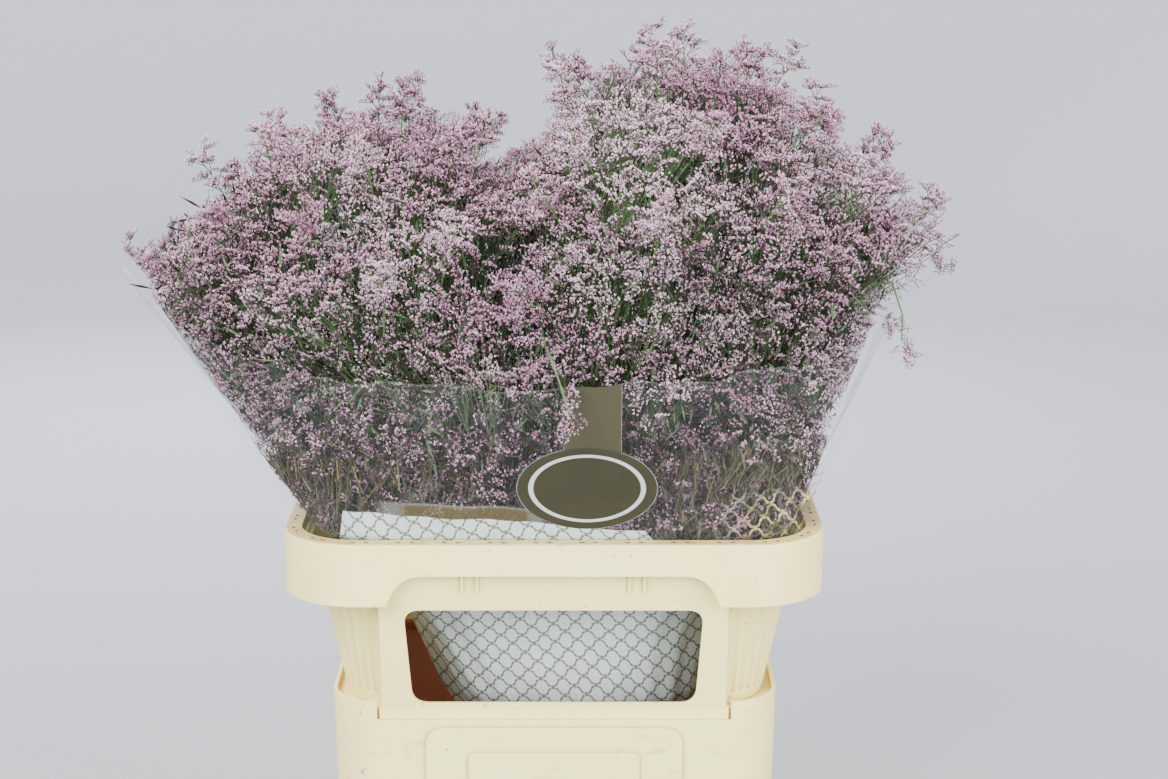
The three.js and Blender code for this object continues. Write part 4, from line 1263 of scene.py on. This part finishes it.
def whole(name, description, default, low, high):
    """A whole number that a user may change."""
    return IntProperty(name=name, description=description, default=default, min=low, max=high)


def amount(name, description, default, high):
    """A number from 0 up that a user may change."""
    return FloatProperty(name=name, description=description, default=default, min=0, max=high)


def hex_colour(name, description, default):
    """A colour as a hex text that a user may change."""
    return StringProperty(name=name, description=description, default=default, maxlen=7)


class StaticeStems(bpy.types.PropertyGroup):
    spacing: metres("Spray spacing", "Least distance between two sprays of the canopy", 0.0295, 0.02, 0.08)
    spray_radius: metres("Spray radius", "How far a spray spreads from its middle", 0.031, 0.01, 0.06)
    depth: metres("Spray depth", "How far a spray's lowest combs lie under its top", 0.016, 0, 0.06)
    tiers: metres("Tiers", "How far the lowest sprays lie under the highest", 0.030, 0, 0.06)
    sink: metres("Canopy sink", "How far the sprays' middles lie under the bunch's outline", 0.020, 0, 0.05)
    comb_length: metres("Comb length", "Length of a comb, a short row of florets", 0.0140, 0.005, 0.03)
    floret_size: metres("Floret size", "Half the length of a floret, about its width", 0.0017, 0.001, 0.004)
    combs: whole("Combs", "Combs in each spray", 34, 4, 40)
    florets: whole("Florets", "Florets on each comb", 11, 3, 20)
    plume_spacing: metres("Tall spray spacing", "Least distance between tall sprays", 0.058, 0.03, 0.2)
    plume_height: metres("Tall spray height", "How far the tallest sprays stand out", 0.036, 0, 0.08)
    plume_twigs: whole("Side twigs", "Side twigs of a tall spray", 9, 3, 20)
    plume_fan: whole("Fan", "Combs at the end of each side twig", 4, 1, 6)
    twig_length: metres("Side twig length", "Length of a tall spray's side twigs", 0.015, 0.005, 0.05)
    undergrowth: whole("Undergrowth", "Bracts and twigs inside the bunch", 29000, 0, 60000)
    dry_leaves: whole("Dry leaves", "Dry leaves low in the sleeve", 700, 0, 2000)
    seed: whole("Seed", "Start of the random numbers", 7, 0, 1000)


class StaticeSleeve(bpy.types.PropertyGroup):
    uv_span: metres("Pattern span", "Length of film that the UV map's unit square covers", 2.0, 1.0, 4.0)
    motif: metres("Motif width", "Width of one motif of the printed lattice", 0.0165, 0.005, 0.05)
    hole_spacing: metres("Hole spacing", "Distance between the film's tiny holes", 0.0050, 0.002, 0.02)
    print_top: metres("Print height", "Height of the pale ground's edge at the middle", 0.4075, 0.30, 0.50)
    veil: amount("Veil", "How milky the clear film is", 0.012, 1)
    badge: hex_colour("Badge", "Colour of the printed badge", "#22200C")
    badge_strip: hex_colour("Badge strip", "Colour of the strip above the badge", "#38361F")


class StaticeContainer(bpy.types.PropertyGroup):
    edge: metres("Edge radius", "Radius of the moulded edges", 0.0010, 0, 0.002)
    hole_pitch: metres("Hole pitch", "Distance between pairs of drain holes", 0.033, 0.01, 0.1)
    hole_gap: metres("Hole gap", "Distance between the two holes of a pair", 0.010, 0.005, 0.02)
    plastic_light: hex_colour("Ivory", "Colour of clean plastic", "#FFF3A2")
    plastic_warm: hex_colour("Warm ivory", "Colour of yellowed plastic", "#FDEC98")
    # Painted shade: the darker ivory towards the ends.
    plastic_side_shade: hex_colour("Side ivory", "Colour towards the ends", "#F8D890")


class StaticeStage(bpy.types.PropertyGroup):
    floor_radius: metres("Floor radius", "Radius of the flat floor", 3.0, 1.0, 6.0)
    # Painted shade: the darker floor colour near the bunch.
    floor: hex_colour("Floor", "Colour of the floor near the bunch", "#96979B")
    wall: hex_colour("Wall", "Colour of the wall", "#C2C5CD")
    key_power: amount("Key light", "Power of the key light in watts", 214, 2000)
    daylight: amount("Daylight", "Strength of the light from all round", 0.84, 10)


# Operators

class STATICE_OT_stems(bpy.types.Operator):
    """Build the flowering stems, each in place of its plain solid"""
    bl_idname = "statice.stems"
    bl_label = "Flowering stems"

    def execute(self, context):
        settings = context.scene.statice_stems
        rng = np.random.default_rng(settings.seed)
        homes = stem_homes()
        sites = bunch_sites(rng, settings, homes)
        plumes = plume_sites(rng, homes, settings)
        materials = [petal_material(), calyx_material(), stem_material(), dry_material()]
        for own, (name, home) in enumerate(homes.items()):
            cloud = Cloud()
            mine = {key: values[sites["own"] == own] for key, values in sites.items()}
            tall = {key: values[plumes["own"] == own] for key, values in plumes.items()}
            add_stem(cloud, home, mine)
            add_sprays(cloud, rng, mine, settings)
            if len(tall["foot"]):
                add_plumes(cloud, rng, tall, settings)
            add_undergrowth(cloud, rng, homes, own, settings)
            add_dry_leaves(cloud, rng, homes, own, settings)
            cloud.press()
            add_trails(cloud, rng, homes, own, settings)
            stem = cloud.piece(name.replace("statice_stem", "flowering_stem"), materials)
            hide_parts(name)
            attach(stem, "root")
        return {"FINISHED"}


class STATICE_OT_sleeve(bpy.types.Operator):
    """Build the printed film sleeve"""
    bl_idname = "statice.sleeve"
    bl_label = "Film sleeve"

    def execute(self, context):
        sleeve = build_sleeve(context.scene.statice_sleeve)
        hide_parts("sleeve")
        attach(sleeve, "root")
        return {"FINISHED"}


class STATICE_OT_container(bpy.types.Operator):
    """Build the bucket, the collar that stands in it and the drain holes along its rim"""
    bl_idname = "statice.container"
    bl_label = "Container"

    def execute(self, context):
        settings = context.scene.statice_container
        plastic = plastic_material(settings)
        bucket = build_bucket(plastic, settings.edge)
        collar = build_collar(plastic, settings.edge)
        holes = build_rim_holes(hole_shade_material(), settings)
        for piece in (bucket, collar, holes):
            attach(piece, "root")
        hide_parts("bucket")
        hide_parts("collar")
        return {"FINISHED"}


class STATICE_OT_stage(bpy.types.Operator):
    """Build the studio, its lights and the camera"""
    bl_idname = "statice.stage"
    bl_label = "Stage"

    def execute(self, context):
        settings = context.scene.statice_stage
        build_studio(settings)
        build_lights(settings)
        build_camera()
        return {"FINISHED"}


class STATICE_PT_panel(bpy.types.Panel):
    """Lists the bunch's settings and the operators that build it"""
    bl_label = "Statice bunch"
    bl_space_type = "VIEW_3D"
    bl_region_type = "UI"
    bl_category = "Statice"

    def draw(self, context):
        for key, group, operator in PARTS:
            box = self.layout.box()
            box.operator(operator)
            for name in group.__annotations__:
                box.prop(getattr(context.scene, key), name)


PARTS = (
    ("statice_container", StaticeContainer, "statice.container"),
    ("statice_sleeve", StaticeSleeve, "statice.sleeve"),
    ("statice_stems", StaticeStems, "statice.stems"),
    ("statice_stage", StaticeStage, "statice.stage"),
)
CLASSES = (
    StaticeStems, StaticeSleeve, StaticeContainer, StaticeStage,
    STATICE_OT_stems, STATICE_OT_sleeve, STATICE_OT_container, STATICE_OT_stage, STATICE_PT_panel,
)


def register():
    for cls in CLASSES:
        bpy.utils.register_class(cls)
    for key, group, _ in PARTS:
        setattr(bpy.types.Scene, key, bpy.props.PointerProperty(type=group))


def unregister():
    for key, _, _ in PARTS:
        delattr(bpy.types.Scene, key)
    for cls in reversed(CLASSES):
        bpy.utils.unregister_class(cls)


def main():
    register()
    bpy.ops.statice.container()
    bpy.ops.statice.sleeve()
    bpy.ops.statice.stems()
    bpy.ops.statice.stage()


if __name__ == "__main__":
    main()
